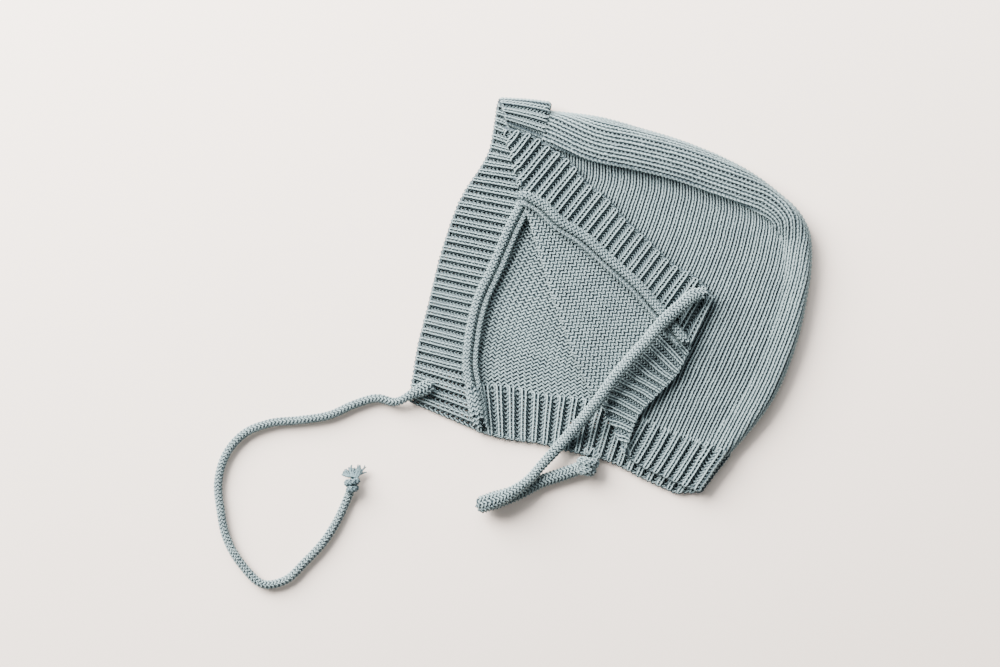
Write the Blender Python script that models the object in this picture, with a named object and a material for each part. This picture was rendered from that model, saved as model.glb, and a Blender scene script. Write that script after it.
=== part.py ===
"""Baby bonnet of thick knitted cotton, lying on its right side with one front corner folded back.

Metres, +Z up, the surface that it lies on at Z 0, the face opening towards -X and the crown
towards +Y. Left and right are the wearer's: the right side lies underneath, and the left side
is on top, with its front corner turned back as a flap. Every plan table is in shares of
FACE_DEPTH, measured from the middle of the bonnet.
"""

import math

import bmesh
import bpy
import numpy as np

FACE_DEPTH = 0.150  # from the crown to the neck along the front edge
WALL = 0.0024  # plain knitting
RIB_WALL = 0.0020  # ribbing, whose wave makes it 3 mm thick in all
RIB_WAVE = 0.0005  # half the height of the rib's wave
SEAT_GAP = 0.0003  # between neighbouring pieces
FOLD_RADIUS = 0.0019  # of the middle of the wall where the corner turns back
FOLD_EASE = 0.0031  # added to the gap between bands and side where they turn back
PART_HEIGHT = 0.0090  # middle of the left side's wall over the floor
ROLL_HEIGHT = 0.0150  # middle of the wall at the crest of the crown
LIP = 0.0022  # how far the crown hangs over the left side
SEAM_WIDTH = 0.0050
SEAM_HEIGHT = 0.0022
TIE_DIAMETER = 0.0058
RIGHT_TIE_DIAMETER = 0.0047
KNOT_DIAMETER = 0.0095
MIDDLE = (-0.00038, 0.00116, 0.0)  # of the finished bonnet, from the point that the tables start at

LOWER_BRIM_RIBS = 31
CROWN_BRIM_RIBS = 10
UPPER_BRIM_RIBS = 24
LOWER_NECK_RIBS = 19
BACK_NECK_RIBS = 4
UPPER_NECK_RIBS = 19
RIB_SAMPLES = 3
BRIM_ROWS = 4
NECK_ROWS = 3

# The fold line starts at the crown end of the front edge and runs down to the neck.
FOLD_START = (-0.342, 0.549)
FOLD_WAY = (0.284, -0.959)
FOLD_REACH = 0.352  # how far from the fold its shift still shows
FOLD_SHIFT = np.array(
    [  # down the fold, shift to the back
        (-0.20, 0.011),
        (0.00, 0.011),
        (0.22, 0.004),
        (0.38, 0.003),
        (0.56, 0.006),
        (0.76, 0.016),
        (0.89, 0.035),
        (0.945, 0.062),
        (1.03, 0.078),
        (1.13, 0.088),
        (1.40, 0.092),
    ]
)
RISE = np.array(
    [  # over the neck, share of PART_HEIGHT
        (-0.20, 0.56),
        (0.00, 0.58),
        (0.07, 0.63),
        (0.18, 0.77),
        (0.34, 0.93),
        (0.60, 1.00),
        (1.00, 1.00),
    ]
)
NECK_CHORD = ((0.147, -0.555), (0.467, 0.884))  # a point of the neck line, and the way up from it

LOWER_BRIM_EDGE = np.array(
    [  # across, up
        (-0.643, -0.334),
        (-0.618, -0.168),
        (-0.579, -0.008),
        (-0.538, 0.152),
        (-0.480, 0.312),
        (-0.387, 0.472),
        (-0.371, 0.552),
    ]
)
LOWER_BRIM_SEAM = np.array(
    [  # across, up. The third row is where the neck band starts
        (-0.432, -0.424),
        (-0.442, -0.350),
        (-0.454, -0.293),
        (-0.467, -0.216),
        (-0.461, -0.136),
        (-0.435, -0.014),
        (-0.381, 0.109),
        (-0.320, 0.250),
        (-0.272, 0.344),
        (-0.221, 0.488),
    ]
)
LOWER_SEAM_CORNER = 2
LOWER_NECK_TOP = np.array(
    [  # across, up
        (-0.454, -0.293),
        (-0.320, -0.302),
        (-0.230, -0.325),
        (-0.118, -0.338),
        (0.000, -0.363),
        (0.154, -0.427),
        (0.294, -0.478),
    ]
)
LOWER_NECK_EDGE = np.array(
    [  # across, up
        (-0.432, -0.424),
        (-0.342, -0.446),
        (-0.230, -0.462),
        (-0.141, -0.485),
        (0.000, -0.523),
        (0.109, -0.578),
        (0.205, -0.621),
    ]
)
UPPER_BRIM_EDGE = np.array(
    [  # across, up, on the flap
        (-0.330, 0.546, 0),
        (-0.275, 0.517, 1),
        (-0.198, 0.469, 1),
        (-0.141, 0.430, 1),
        (-0.083, 0.357, 1),
        (-0.019, 0.309, 1),
        (0.035, 0.245, 1),
        (0.109, 0.178, 1),
        (0.189, 0.101, 1),
        (0.269, 0.053, 1),
        (0.317, -0.008, 1),
    ]
)
UPPER_BRIM_SEAM = np.array(
    [  # across, up, on the flap. The last but one row is where the neck band ends
        (-0.221, 0.488, 0),
        (-0.262, 0.392, 0),
        (-0.211, 0.290, 1),
        (-0.166, 0.245, 1),
        (-0.102, 0.206, 1),
        (0.003, 0.114, 1),
        (0.086, 0.040, 1),
        (0.141, -0.024, 1),
        (0.173, -0.062, 1),
        (0.246, -0.155, 1),
    ]
)
UPPER_SEAM_CORNER = 8
UPPER_NECK_TOP = np.array(
    [  # across, up, on the flap
        (0.294, -0.478, 0),
        (0.218, -0.450, 0),
        (0.138, -0.418, 0),
        (0.045, -0.373, 0),
        (0.000, -0.277, 1),
        (0.054, -0.200, 1),
        (0.115, -0.136, 1),
        (0.173, -0.062, 1),
    ]
)
UPPER_NECK_EDGE = np.array(
    [  # across, up, on the flap
        (0.221, -0.595, 0),
        (0.109, -0.542, 0),
        (0.086, -0.366, 1),
        (0.141, -0.306, 1),
        (0.208, -0.232, 1),
        (0.246, -0.155, 1),
    ]
)

# Sections of the cloth that turns over the crown, down the back and round the neck. The columns
# are outer across, outer up, top across, top up, low across, low up, crest, lip and edge: crest in
# shares of ROLL_HEIGHT, lip of LIP and edge of WALL.
BRIM_WRAP = np.array(
    [
        (-0.358, 0.634, -0.330, 0.546, -0.371, 0.552, 0.84, 0.0, 0.0),
        (-0.280, 0.631, -0.276, 0.517, -0.296, 0.520, 0.86, 0.0, 0.0),
        (-0.200, 0.622, -0.221, 0.488, -0.221, 0.488, 0.88, 0.0, 0.0),
    ]
)
CROWN_WRAP = np.array(
    [  # the same columns
        (-0.202, 0.597, -0.2225, 0.486, -0.2225, 0.486, 0.90, 0.5, 1.3),
        (-0.038, 0.576, -0.070, 0.424, -0.070, 0.424, 1.00, 1.0, 1.3),
        (0.090, 0.541, 0.058, 0.398, 0.058, 0.398, 1.03, 1.0, 1.3),
        (0.243, 0.493, 0.205, 0.360, 0.205, 0.360, 1.02, 1.0, 1.3),
        (0.346, 0.451, 0.301, 0.325, 0.301, 0.325, 0.98, 1.0, 1.3),
        (0.448, 0.397, 0.394, 0.291, 0.394, 0.291, 0.93, 1.0, 1.30),
        (0.528, 0.338, 0.464, 0.262, 0.464, 0.262, 0.87, 0.6, 1.30),
        (0.602, 0.267, 0.515, 0.233, 0.515, 0.233, 0.80, 0.0, 1.00),
        (0.632, 0.206, 0.542, 0.185, 0.542, 0.185, 0.67, 0.0, 0.0),
        (0.638, 0.136, 0.554, 0.114, 0.554, 0.114, 0.63, 0.0, 0.0),
        (0.621, -0.014, 0.541, -0.008, 0.541, -0.008, 0.61, 0.0, 0.0),
        (0.576, -0.190, 0.496, -0.158, 0.496, -0.158, 0.59, 0.0, 0.0),
        (0.522, -0.315, 0.445, -0.270, 0.445, -0.270, 0.55, 0.0, 0.0),
        (0.429, -0.443, 0.362, -0.392, 0.362, -0.392, 0.49, 0.0, 0.0),
        (0.371, -0.507, 0.296, -0.474, 0.294, -0.477, 0.46, 0.0, 0.0),
    ]
)
NECK_WRAP = np.array(
    [  # the same columns
        (0.370, -0.509, 0.294, -0.478, 0.294, -0.478, 0.46, 0.0, 0.0),
        (0.333, -0.558, 0.259, -0.536, 0.250, -0.549, 0.41, 0.0, 0.0),
        (0.290, -0.617, 0.221, -0.595, 0.205, -0.621, 0.37, 0.0, 0.0),
    ]
)
CREASE_ROWS = 8  # rows of CROWN_WRAP whose inner edge is the crease; the rest run down the back
SECTION = np.array(
    [  # share of the way in from the outer line, walls in from it, share of the rise
        (1.00, 0.0, 0.00),
        (0.55, 0.0, 0.00),
        (0.17, 0.0, 0.01),
        (0.00, 0.5, 0.34),
        (0.05, 0.5, 0.70),
        (0.25, 0.0, 0.95),
        (0.50, 0.0, 1.00),
    ]
)
SECTION_TOP = np.array(
    [  # the part past the crest: way in, walls in, share of the crest over the edge
        (0.76, 0.0, 0.86),
        (0.97, -0.5, 0.45),
    ]
)
FLUSH_RISE = 0.10  # the last rise of SECTION_TOP where the cloth has no lip

RIGHT_TIE = np.array(
    [  # across, up, height of the middle in tie diameters
        (-0.573, -0.275, 1.26),
        (-0.600, -0.290, 1.27),
        (-0.640, -0.310, 1.20),
        (-0.694, -0.334, 0.72),
        (-0.749, -0.322, 0.52),
        (-0.822, -0.341, 0.52),
        (-0.902, -0.376, 0.52),
        (-0.998, -0.392, 0.52),
        (-1.094, -0.402, 0.52),
        (-1.174, -0.434, 0.52),
        (-1.229, -0.494, 0.52),
        (-1.258, -0.584, 0.52),
        (-1.251, -0.680, 0.52),
        (-1.229, -0.776, 0.52),
        (-1.181, -0.856, 0.52),
        (-1.110, -0.917, 0.52),
        (-1.046, -0.904, 0.52),
        (-0.982, -0.846, 0.52),
        (-0.918, -0.776, 0.52),
        (-0.870, -0.696, 0.52),
        (-0.8385, -0.6244, 0.53),
    ]
)
LEFT_TIE = np.array(
    [  # across, up, height of the middle in tie diameters
        (0.292, 0.012, 3.00),
        (0.262, 0.008, 3.04),
        (0.211, -0.030, 3.28),
        (0.150, -0.085, 3.44),
        (0.115, -0.128, 3.38),
        (0.067, -0.181, 3.12),
        (0.006, -0.251, 2.95),
        (-0.051, -0.331, 2.60),
        (-0.105, -0.400, 1.60),
        (-0.144, -0.445, 1.12),
        (-0.190, -0.496, 1.12),
        (-0.227, -0.536, 1.12),
        (-0.262, -0.576, 1.38),
        (-0.298, -0.605, 1.60),
        (-0.346, -0.634, 1.62),
        (-0.396, -0.653, 1.50),
        (-0.420, -0.661, 1.08),
        (-0.398, -0.655, 0.62),
        (-0.365, -0.644, 0.52),
        (-0.310, -0.626, 0.52),
        (-0.230, -0.588, 0.52),
        (-0.160, -0.565, 0.52),
        (-0.1125, -0.548, 0.66),
    ]
)
KNOTS = (
    # name, across, up, length, width and height in knot diameters, turn in degrees
    ("right_tie_knot", -0.8325, -0.5904, 1.00, 0.92, 0.90, 80.0),
    ("left_tie_knot", -0.081, -0.534, 1.14, 1.00, 0.95, 66.0),
)


def along(points, shares, columns=None):
    """The smooth curve through the points, read at shares of its length between 0 and 1.

    The length counts the first columns only, where the others aren't places.
    """
    points = np.asarray(points, float)
    steps = np.linalg.norm(np.diff(points[:, :columns], axis=0), axis=1)
    knots = np.concatenate([[0.0], np.cumsum(steps)])
    slopes = np.diff(points, axis=0) / np.diff(knots)[:, None]
    spans = np.diff(knots)[:, None]
    inner = (slopes[:-1] * spans[1:] + slopes[1:] * spans[:-1]) / (spans[1:] + spans[:-1])
    slopes = np.concatenate([slopes[:1], inner, slopes[-1:]])
    where = np.clip(np.asarray(shares, float), 0.0, 1.0) * knots[-1]
    at = np.clip(np.searchsorted(knots, where, side="right") - 1, 0, len(knots) - 2)
    span = (knots[at + 1] - knots[at])[:, None]
    s = ((where - knots[at])[:, None]) / span
    return (
        points[at] * (2 * s**3 - 3 * s**2 + 1)
        + slopes[at] * span * (s**3 - 2 * s**2 + s)
        + points[at + 1] * (3 * s**2 - 2 * s**3)
        + slopes[at + 1] * span * (s**3 - s**2)
    )


def row_share(points, row):
    """The share of the curve's length at which it passes this row of its table."""
    steps = np.cumsum(np.linalg.norm(np.diff(points[:, :2], axis=0), axis=1))
    return 0.0 if row == 0 else steps[row - 1] / steps[-1]


def left_side_height(plan):
    """Height of the middle of the left side's wall over a point of the plan."""
    start, way = np.array(NECK_CHORD)
    over = (plan / FACE_DEPTH - start) @ (way / np.linalg.norm(way))
    return PART_HEIGHT * np.interp(over, RISE[:, 0], RISE[:, 1])


def fold_frame():
    """The start of the fold line, the way down it and the way to the back of the head."""
    way = np.array(FOLD_WAY) / np.linalg.norm(FOLD_WAY)
    return np.array(FOLD_START) * FACE_DEPTH, way, np.array([-way[1], way[0]])


def fold_shift(down, across):
    """How far the fold lies towards the back of its straight line, fading away from the fold."""
    shift = np.interp(down / FACE_DEPTH, FOLD_SHIFT[:, 0], FOLD_SHIFT[:, 1]) * FACE_DEPTH
    return shift * np.exp(-((across / (FOLD_REACH * FACE_DEPTH)) ** 2))


def turned_back(flat):
    """Points of the left side in space, from the distance down the fold and across it.

    Across is positive on the part that lies flat, and negative on the part that turns back over
    an arc of FOLD_RADIUS and then lies on top.
    """
    start, way, back = fold_frame()
    down, across = flat[..., 0], flat[..., 1]
    angle = np.clip(-across / FOLD_RADIUS, 0.0, math.pi)
    arc = np.pi * FOLD_RADIUS
    out = np.where(across > 0, across, np.where(across < -arc, -across - arc, 0.0))
    out = out - FOLD_RADIUS * np.sin(angle)
    out = out + fold_shift(down, out)
    plan = start + down[..., None] * way + out[..., None] * back
    height = left_side_height(plan) + FOLD_RADIUS * (1 - np.cos(angle))
    return np.concatenate([plan, height[..., None]], axis=-1)


def laid_out(table):
    """Distances down and across the fold of plan points that lie flat or on the flap."""
    start, way, back = fold_frame()
    plan = table[:, :2] * FACE_DEPTH - start
    down, seen = plan @ way, plan @ back
    out = seen.copy()
    for _ in range(40):
        out = seen - fold_shift(down, out)
    across = np.where(table[:, 2] > 0.5, -out - np.pi * FOLD_RADIUS, np.maximum(out, 0.0))
    return np.stack([down, across], axis=-1)


def wrap_section(row, count):
    """One section of the cloth round the outer line, from the underside to the top."""
    outer, top, low = row[0:2] * FACE_DEPTH, row[2:4] * FACE_DEPTH, row[4:6] * FACE_DEPTH
    crest, lip = row[6] * ROLL_HEIGHT, row[7] * LIP
    edge = left_side_height(top) + row[8] * WALL
    crest = max(crest, edge)
    base = WALL / 2
    wide, deep = np.linalg.norm(top - outer), np.linalg.norm(low - outer)
    points = []
    for share, walls, rise in SECTION:
        target, reach = (low, deep) if rise < 0.3 else (top, wide)
        into = share * (reach - (lip if share == 1.0 else 0.0)) + walls * WALL
        plan = outer + (target - outer) / reach * into
        points.append((*plan, base + rise * (crest - base)))
    for share, walls, rise in SECTION_TOP:
        if share > 0.9:
            rise = FLUSH_RISE + (rise - FLUSH_RISE) * min(max(row[7], 0.0), 1.0)
        plan = outer + (top - outer) / wide * (share * wide + walls * WALL)
        points.append((*plan, edge + rise * (crest - edge)))
    points.append((*(outer + (top - outer) / wide * (wide - lip)), edge))
    section = along(points, np.linspace(0.0, 1.0, count))
    section[:, 2] = np.maximum(section[:, 2], base)
    return section


def wrapped(table, shares, count, trim=0.0):
    """The cloth round the outer line at shares along the table, as count points by len(shares)."""
    rows = along(table, shares, 2)
    cloth = np.stack([wrap_section(row, count) for row in rows], axis=1)
    if trim:
        length = np.linalg.norm(np.diff(cloth, axis=0), axis=-1).sum(axis=0).mean()
        keep = np.linspace(trim / length, 1 - trim / length, count)
        cloth = np.stack([along(cloth[:, i], keep) for i in range(cloth.shape[1])], axis=1)
    return cloth


def tucked(table):
    """The line that the edge of the wrapped cloth follows on the left side's wall."""
    outer, top = table[:, 0:2], table[:, 2:4]
    wide = np.linalg.norm(top - outer, axis=1, keepdims=True)
    return outer + (top - outer) / wide * (wide - table[:, 7:8] * LIP / FACE_DEPTH)


def patch(left, right, bottom, top, across, up):
    """A surface patch between four curves, each read from its start at 0 to its end at 1.

    Each point is the blend of the two side curves plus the blend of the two end curves, less the
    blend of the four corners.
    """
    u, v = across[:, None, None], up[None, :, None]
    west, east = along(left, up)[None], along(right, up)[None]
    south, north = along(bottom, across)[:, None], along(top, across)[:, None]
    ends = along(bottom, [0.0, 1.0]), along(top, [0.0, 1.0])
    corners = (
        (1 - u) * (1 - v) * ends[0][0]
        + u * (1 - v) * ends[0][1]
        + (1 - u) * v * ends[1][0]
        + u * v * ends[1][1]
    )
    return (1 - u) * west + u * east + (1 - v) * south + v * north - corners


def strip(edge, seam, shares, rows):
    """A band between two lines: points at shares along it, by rows across it."""
    a, b = along(edge, shares)[:, None], along(seam, shares)[:, None]
    v = rows[None, :, None]
    return (1 - v) * a + v * b


def eased(flat, row, towards):
    """The band with its row beside a side panel drawn back where the cloth turns over the fold."""
    near = np.exp(-((flat[:, row, 1] / (3 * FOLD_RADIUS)) ** 2))[:, None]
    way = flat[:, towards] - flat[:, row]
    eased_band = flat.copy()
    eased_band[:, row] += near * way / np.linalg.norm(way, axis=1, keepdims=True) * FOLD_EASE
    return eased_band


def flat_on_floor(plan, height):
    return np.concatenate([plan, np.full(plan.shape[:-1] + (1,), height)], axis=-1)


def rib_wave(ribs):
    """Height of the ribs' wave at RIB_SAMPLES points a rib: one in the groove, the rest on top."""
    phase = np.arange(ribs * RIB_SAMPLES + 1) % RIB_SAMPLES
    return np.where(phase == 0, -RIB_WAVE, RIB_WAVE)


def normals_of(grid):
    first, second = np.gradient(grid, axis=0), np.gradient(grid, axis=1)
    normal = np.cross(first, second)
    return normal / np.maximum(np.linalg.norm(normal, axis=-1, keepdims=True), 1e-12)


def material(name, colour, roughness):
    made = bpy.data.materials.new(name)
    made.use_nodes = True
    shader = made.node_tree.nodes["Principled BSDF"]
    shader.inputs["Base Color"].default_value = (*colour, 1.0)
    shader.inputs["Roughness"].default_value = roughness
    return made


def add(name, vertices, faces, colour, keep=None):
    """Adds one closed piece as an object, with an optional share of its triangles to keep."""
    mesh = bpy.data.meshes.new(name)
    mesh.from_pydata([tuple(v) for v in np.asarray(vertices) - MIDDLE], [], faces)
    shell = bmesh.new()
    shell.from_mesh(mesh)
    if shell.calc_volume(signed=True) < 0:
        bmesh.ops.reverse_faces(shell, faces=shell.faces)
    shell.to_mesh(mesh)
    shell.free()
    mesh.update()
    piece = bpy.data.objects.new(name, mesh)
    bpy.context.scene.collection.objects.link(piece)
    piece.data.materials.append(material(name + "_cotton", colour, 0.9))
    if keep:
        fewer = piece.modifiers.new("fewer faces", "DECIMATE")
        fewer.ratio = keep
    return piece


def wall(name, grid, thickness, colour, wave=None, keep=None):
    """A wall of this thickness round a grid of points, with an optional wave along its length."""
    normal = normals_of(grid)
    middle = grid if wave is None else grid + wave[:, None, None] * normal
    front, rear = middle + normal * thickness / 2, middle - normal * thickness / 2
    n, m = grid.shape[:2]
    index = np.arange(n * m).reshape(n, m)
    quads = np.stack([index[:-1, :-1], index[1:, :-1], index[1:, 1:], index[:-1, 1:]], axis=-1)
    faces = quads.reshape(-1, 4).tolist()
    faces += (quads + n * m)[..., ::-1].reshape(-1, 4).tolist()
    rim = np.concatenate([index[:, 0], index[-1, 1:], index[-2::-1, -1], index[0, -2:0:-1]])
    ahead = np.roll(rim, -1)
    faces += np.stack([ahead, rim, rim + n * m, ahead + n * m], axis=-1).tolist()
    vertices = np.concatenate([front.reshape(-1, 3), rear.reshape(-1, 3)])
    return add(name, vertices, faces, colour, keep)


def rope(name, path, normal, width, height, sides, colour, twist_pitch=0.0045):
    """A flattened rope on a surface: an ellipse carried along a path, swelling once a stitch."""
    way = np.gradient(path, axis=0)
    way /= np.linalg.norm(way, axis=1, keepdims=True)
    side = np.cross(way, normal)
    side /= np.linalg.norm(side, axis=1, keepdims=True)
    up = np.cross(side, way)
    run = np.concatenate([[0.0], np.cumsum(np.linalg.norm(np.diff(path, axis=0), axis=1))])
    angle = np.linspace(0.0, 2 * np.pi, sides, endpoint=False)
    swell = 1 + 0.10 * np.sin(2 * np.pi * run / twist_pitch)[:, None]
    across = np.cos(angle)[None] * width / 2 * swell
    over = np.sin(angle)[None] * height / 2
    rings = path[:, None] + across[..., None] * side[:, None] + over[..., None] * up[:, None]
    count = len(path)
    index = np.arange(count * sides).reshape(count, sides)
    ahead = np.roll(index, -1, axis=1)
    faces = np.stack([index[:-1], ahead[:-1], ahead[1:], index[1:]], axis=-1).reshape(-1, 4).tolist()
    faces += [index[0, ::-1].tolist(), index[-1].tolist()]
    return add(name, rings.reshape(-1, 3), faces, colour)


def knot(name, across, up, long, wide, high, turn, colour):
    """An overhand knot, as a rounded lump with two soft grooves round it."""
    turns, rings = 12, 8
    theta = np.linspace(0.0, 2 * np.pi, turns, endpoint=False)[None]
    phi = np.linspace(0.0, np.pi, rings + 2)[1:-1, None]
    lump = 1 + 0.07 * np.sin(3 * phi * 1.6 + theta) * np.sin(phi)
    x, y, z = np.cos(phi) + 0 * theta, np.sin(phi) * np.cos(theta), np.sin(phi) * np.sin(theta)
    body = np.stack([x * long, y * wide, z * high], axis=-1) * lump[..., None]
    ends = np.array([[long, 0, 0], [-long, 0, 0]], float)
    points = np.concatenate([body.reshape(-1, 3), ends]) * KNOT_DIAMETER / 2
    a = math.radians(turn)
    spin = np.array([[math.cos(a), -math.sin(a), 0], [math.sin(a), math.cos(a), 0], [0, 0, 1]])
    points = points @ spin.T
    points += (across * FACE_DEPTH, up * FACE_DEPTH, 0.0002 - points[:, 2].min())
    index = np.arange(rings * turns).reshape(rings, turns)
    ahead = np.roll(index, -1, axis=1)
    faces = np.stack([index[:-1], index[1:], ahead[1:], ahead[:-1]], axis=-1).reshape(-1, 4).tolist()
    near, far = rings * turns, rings * turns + 1
    faces += [[near, int(a), int(b)] for a, b in zip(index[0], ahead[0])]
    faces += [[far, int(b), int(a)] for a, b in zip(index[-1], ahead[-1])]
    return add(name, points, faces, colour)


def tie(name, table, diameter, colour):
    """A tie as a round tube along a smooth line through its table, a point every 11 mm or closer."""
    points = table * (FACE_DEPTH, FACE_DEPTH, diameter)
    length = np.linalg.norm(np.diff(points, axis=0), axis=1).sum()
    fine = along(points, np.linspace(0.0, 1.0, 400))
    way = np.diff(fine, axis=0)
    way /= np.linalg.norm(way, axis=1, keepdims=True)
    bend = np.concatenate([[0.0], np.cumsum(np.linalg.norm(np.diff(way, axis=0), axis=1)), [0.0]])
    bend[-1] = bend[-2]
    effort = np.linspace(0.0, length / 0.011, 400) + bend / 0.35
    shares = np.interp(np.linspace(0.0, effort[-1], int(effort[-1]) + 1), effort, np.linspace(0, 1, 400))
    points = along(points, shares) - MIDDLE
    curve = bpy.data.curves.new(name, "CURVE")
    curve.dimensions = "3D"
    curve.bevel_depth = diameter / 2
    curve.bevel_resolution = 2
    curve.use_fill_caps = True
    line = curve.splines.new("POLY")
    line.points.add(len(points) - 1)
    line.points.foreach_set("co", np.c_[points, np.ones(len(points))].ravel())
    piece = bpy.data.objects.new(name, curve)
    bpy.context.scene.collection.objects.link(piece)
    curve.materials.append(material(name + "_cotton", colour, 0.9))
    return piece


def build():
    lower_edge, lower_seam = LOWER_BRIM_EDGE * FACE_DEPTH, LOWER_BRIM_SEAM * FACE_DEPTH
    lower_top, lower_neck = LOWER_NECK_TOP * FACE_DEPTH, LOWER_NECK_EDGE * FACE_DEPTH
    upper_edge, upper_seam = laid_out(UPPER_BRIM_EDGE), laid_out(UPPER_BRIM_SEAM)
    upper_top, upper_neck = laid_out(UPPER_NECK_TOP), laid_out(UPPER_NECK_EDGE)

    # The ribbed band round the face: under the crown, over it, and on to the end of the flap.
    rows = np.linspace(0.0, 1.0 - 1.2 * SEAT_GAP / 0.017, BRIM_ROWS + 1)
    lower = flat_on_floor(
        strip(lower_edge, lower_seam, np.linspace(0, 1, LOWER_BRIM_RIBS * RIB_SAMPLES + 1), rows),
        RIB_WALL / 2 + RIB_WAVE,
    )
    crown = wrapped(BRIM_WRAP, rows, CROWN_BRIM_RIBS * RIB_SAMPLES + 1)
    crown[..., 2] += RIB_WALL / 2 + RIB_WAVE - WALL / 2
    shares = np.linspace(0, 1, UPPER_BRIM_RIBS * RIB_SAMPLES + 1)
    upper = turned_back(eased(strip(upper_edge, upper_seam, shares, rows), -1, -2))
    band = np.concatenate([lower, crown[1:], upper[1:]])
    ribs = LOWER_BRIM_RIBS + CROWN_BRIM_RIBS + UPPER_BRIM_RIBS
    wall("brim_band", band, RIB_WALL, (0.36, 0.47, 0.50), rib_wave(ribs))

    # The ribbed band round the neck, from the lower seam round the back to the end of the flap.
    rows = np.linspace(1.2 * SEAT_GAP / 0.020, 1.0, NECK_ROWS + 1)
    shares = np.linspace(0, 1, LOWER_NECK_RIBS * RIB_SAMPLES + 1)
    shares = np.r_[SEAT_GAP / 0.10, shares[1:]]
    lower = flat_on_floor(strip(lower_top, lower_neck, shares, rows), RIB_WALL / 2 + RIB_WAVE)
    back = wrapped(NECK_WRAP, rows, BACK_NECK_RIBS * RIB_SAMPLES + 1)
    back[..., 2] += RIB_WALL / 2 + RIB_WAVE - WALL / 2
    shares = np.linspace(0, 1, UPPER_NECK_RIBS * RIB_SAMPLES + 1)
    shares = np.r_[shares[:-1], 1 - SEAT_GAP / 0.10]
    upper = turned_back(eased(strip(upper_top, upper_neck, shares, rows), 0, 1))
    band = np.concatenate([lower, back[1:], upper[1:]])
    ribs = LOWER_NECK_RIBS + BACK_NECK_RIBS + UPPER_NECK_RIBS
    wall("neck_band", band, RIB_WALL, (0.34, 0.45, 0.48), rib_wave(ribs))

    # The crown and back: one strip from the brim over the crown and down to the neck band.
    shares = np.linspace(SEAT_GAP / 0.30, 1 - SEAT_GAP / 0.30, 90)
    cloth = wrapped(CROWN_WRAP, shares, 25, trim=SEAT_GAP * 1.2)
    wall("crown_strip", cloth, WALL, (0.38, 0.49, 0.52), keep=0.18)

    # The two sides, each between the brim's seam, the crown, the back and the neck band.
    gap = SEAT_GAP * 0.7
    across, up = np.linspace(gap / 0.11, 1 - gap / 0.11, 57), np.linspace(gap / 0.11, 1 - gap / 0.11, 33)
    corner = row_share(lower_seam, LOWER_SEAM_CORNER)
    seam = along(lower_seam, np.linspace(corner, 1.0, 24))
    turn = row_share(CROWN_WRAP, CREASE_ROWS - 1)
    crease_rows = along(CROWN_WRAP, np.linspace(0.0, turn, 60), 2)
    spine_rows = along(CROWN_WRAP, np.linspace(1.0, turn, 50), 2)
    crease, spine = crease_rows[:, 4:6] * FACE_DEPTH, spine_rows[:, 4:6] * FACE_DEPTH
    crease[0] = lower_seam[-1]
    plan = patch(seam, spine, lower_top, crease, across[::4], up[::4])
    wall("right_side_panel", flat_on_floor(plan, WALL / 2), WALL, (0.33, 0.44, 0.47), keep=0.5)

    corner = row_share(upper_seam, UPPER_SEAM_CORNER)
    seam = along(upper_seam, np.linspace(corner, 0.0, 40))
    crease = laid_out(np.c_[tucked(crease_rows), np.zeros(len(crease_rows))])
    spine = laid_out(np.c_[tucked(spine_rows), np.zeros(len(spine_rows))])
    crease[0] = upper_seam[0]
    flat = patch(seam, spine, upper_top[::-1], crease, across, up)
    wall("left_side_panel", turned_back(flat), WALL, (0.37, 0.48, 0.51), keep=0.20)

    # The thick inner seams between brim and sides, which lie on the inside of the cloth.
    lift = RIB_WALL / 2 + RIB_WAVE + 1.3 * SEAT_GAP + SEAM_HEIGHT / 2
    path = along(lower_seam, np.linspace(0.012, 0.86, 37))
    path = flat_on_floor(path, RIB_WALL / 2 + RIB_WAVE + lift)
    up_way = np.tile((0.0, 0.0, 1.0), (len(path), 1))
    rope("right_brim_seam", path, up_way, SEAM_WIDTH, SEAM_HEIGHT, 6, (0.42, 0.53, 0.56))
    flat = along(upper_seam, np.linspace(0.20, 0.985, 37))
    step = np.array([1e-4, 0.0]), np.array([0.0, 1e-4])
    outside = np.cross(
        turned_back(flat + step[0]) - turned_back(flat - step[0]),
        turned_back(flat + step[1]) - turned_back(flat - step[1]),
    )
    inside = -outside / np.linalg.norm(outside, axis=1, keepdims=True)
    path = turned_back(flat) + inside * lift
    rope("left_brim_seam", path, inside, SEAM_WIDTH, SEAM_HEIGHT, 6, (0.42, 0.53, 0.56))

    tie("right_tie", RIGHT_TIE, RIGHT_TIE_DIAMETER, (0.36, 0.47, 0.51))
    tie("left_tie", LEFT_TIE, TIE_DIAMETER, (0.36, 0.47, 0.51))
    for name, *sizes in KNOTS:
        knot(name, *sizes, (0.36, 0.47, 0.51))


for old in list(bpy.data.objects):
    bpy.data.objects.remove(old, do_unlink=True)
build()
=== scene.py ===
"""Looks of a knitted baby bonnet that lies on its right side, with every stitch as a loop of yarn.

Metres, +Z up, the floor at Z 0, the face opening towards -X and the crown towards +Y. Left and right
are the wearer's: the right side lies underneath, and the left side is on top, with its front corner
turned back as a flap.
"""

import logging
import math
from dataclasses import dataclass, field, replace
from enum import Enum
from typing import Any

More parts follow.
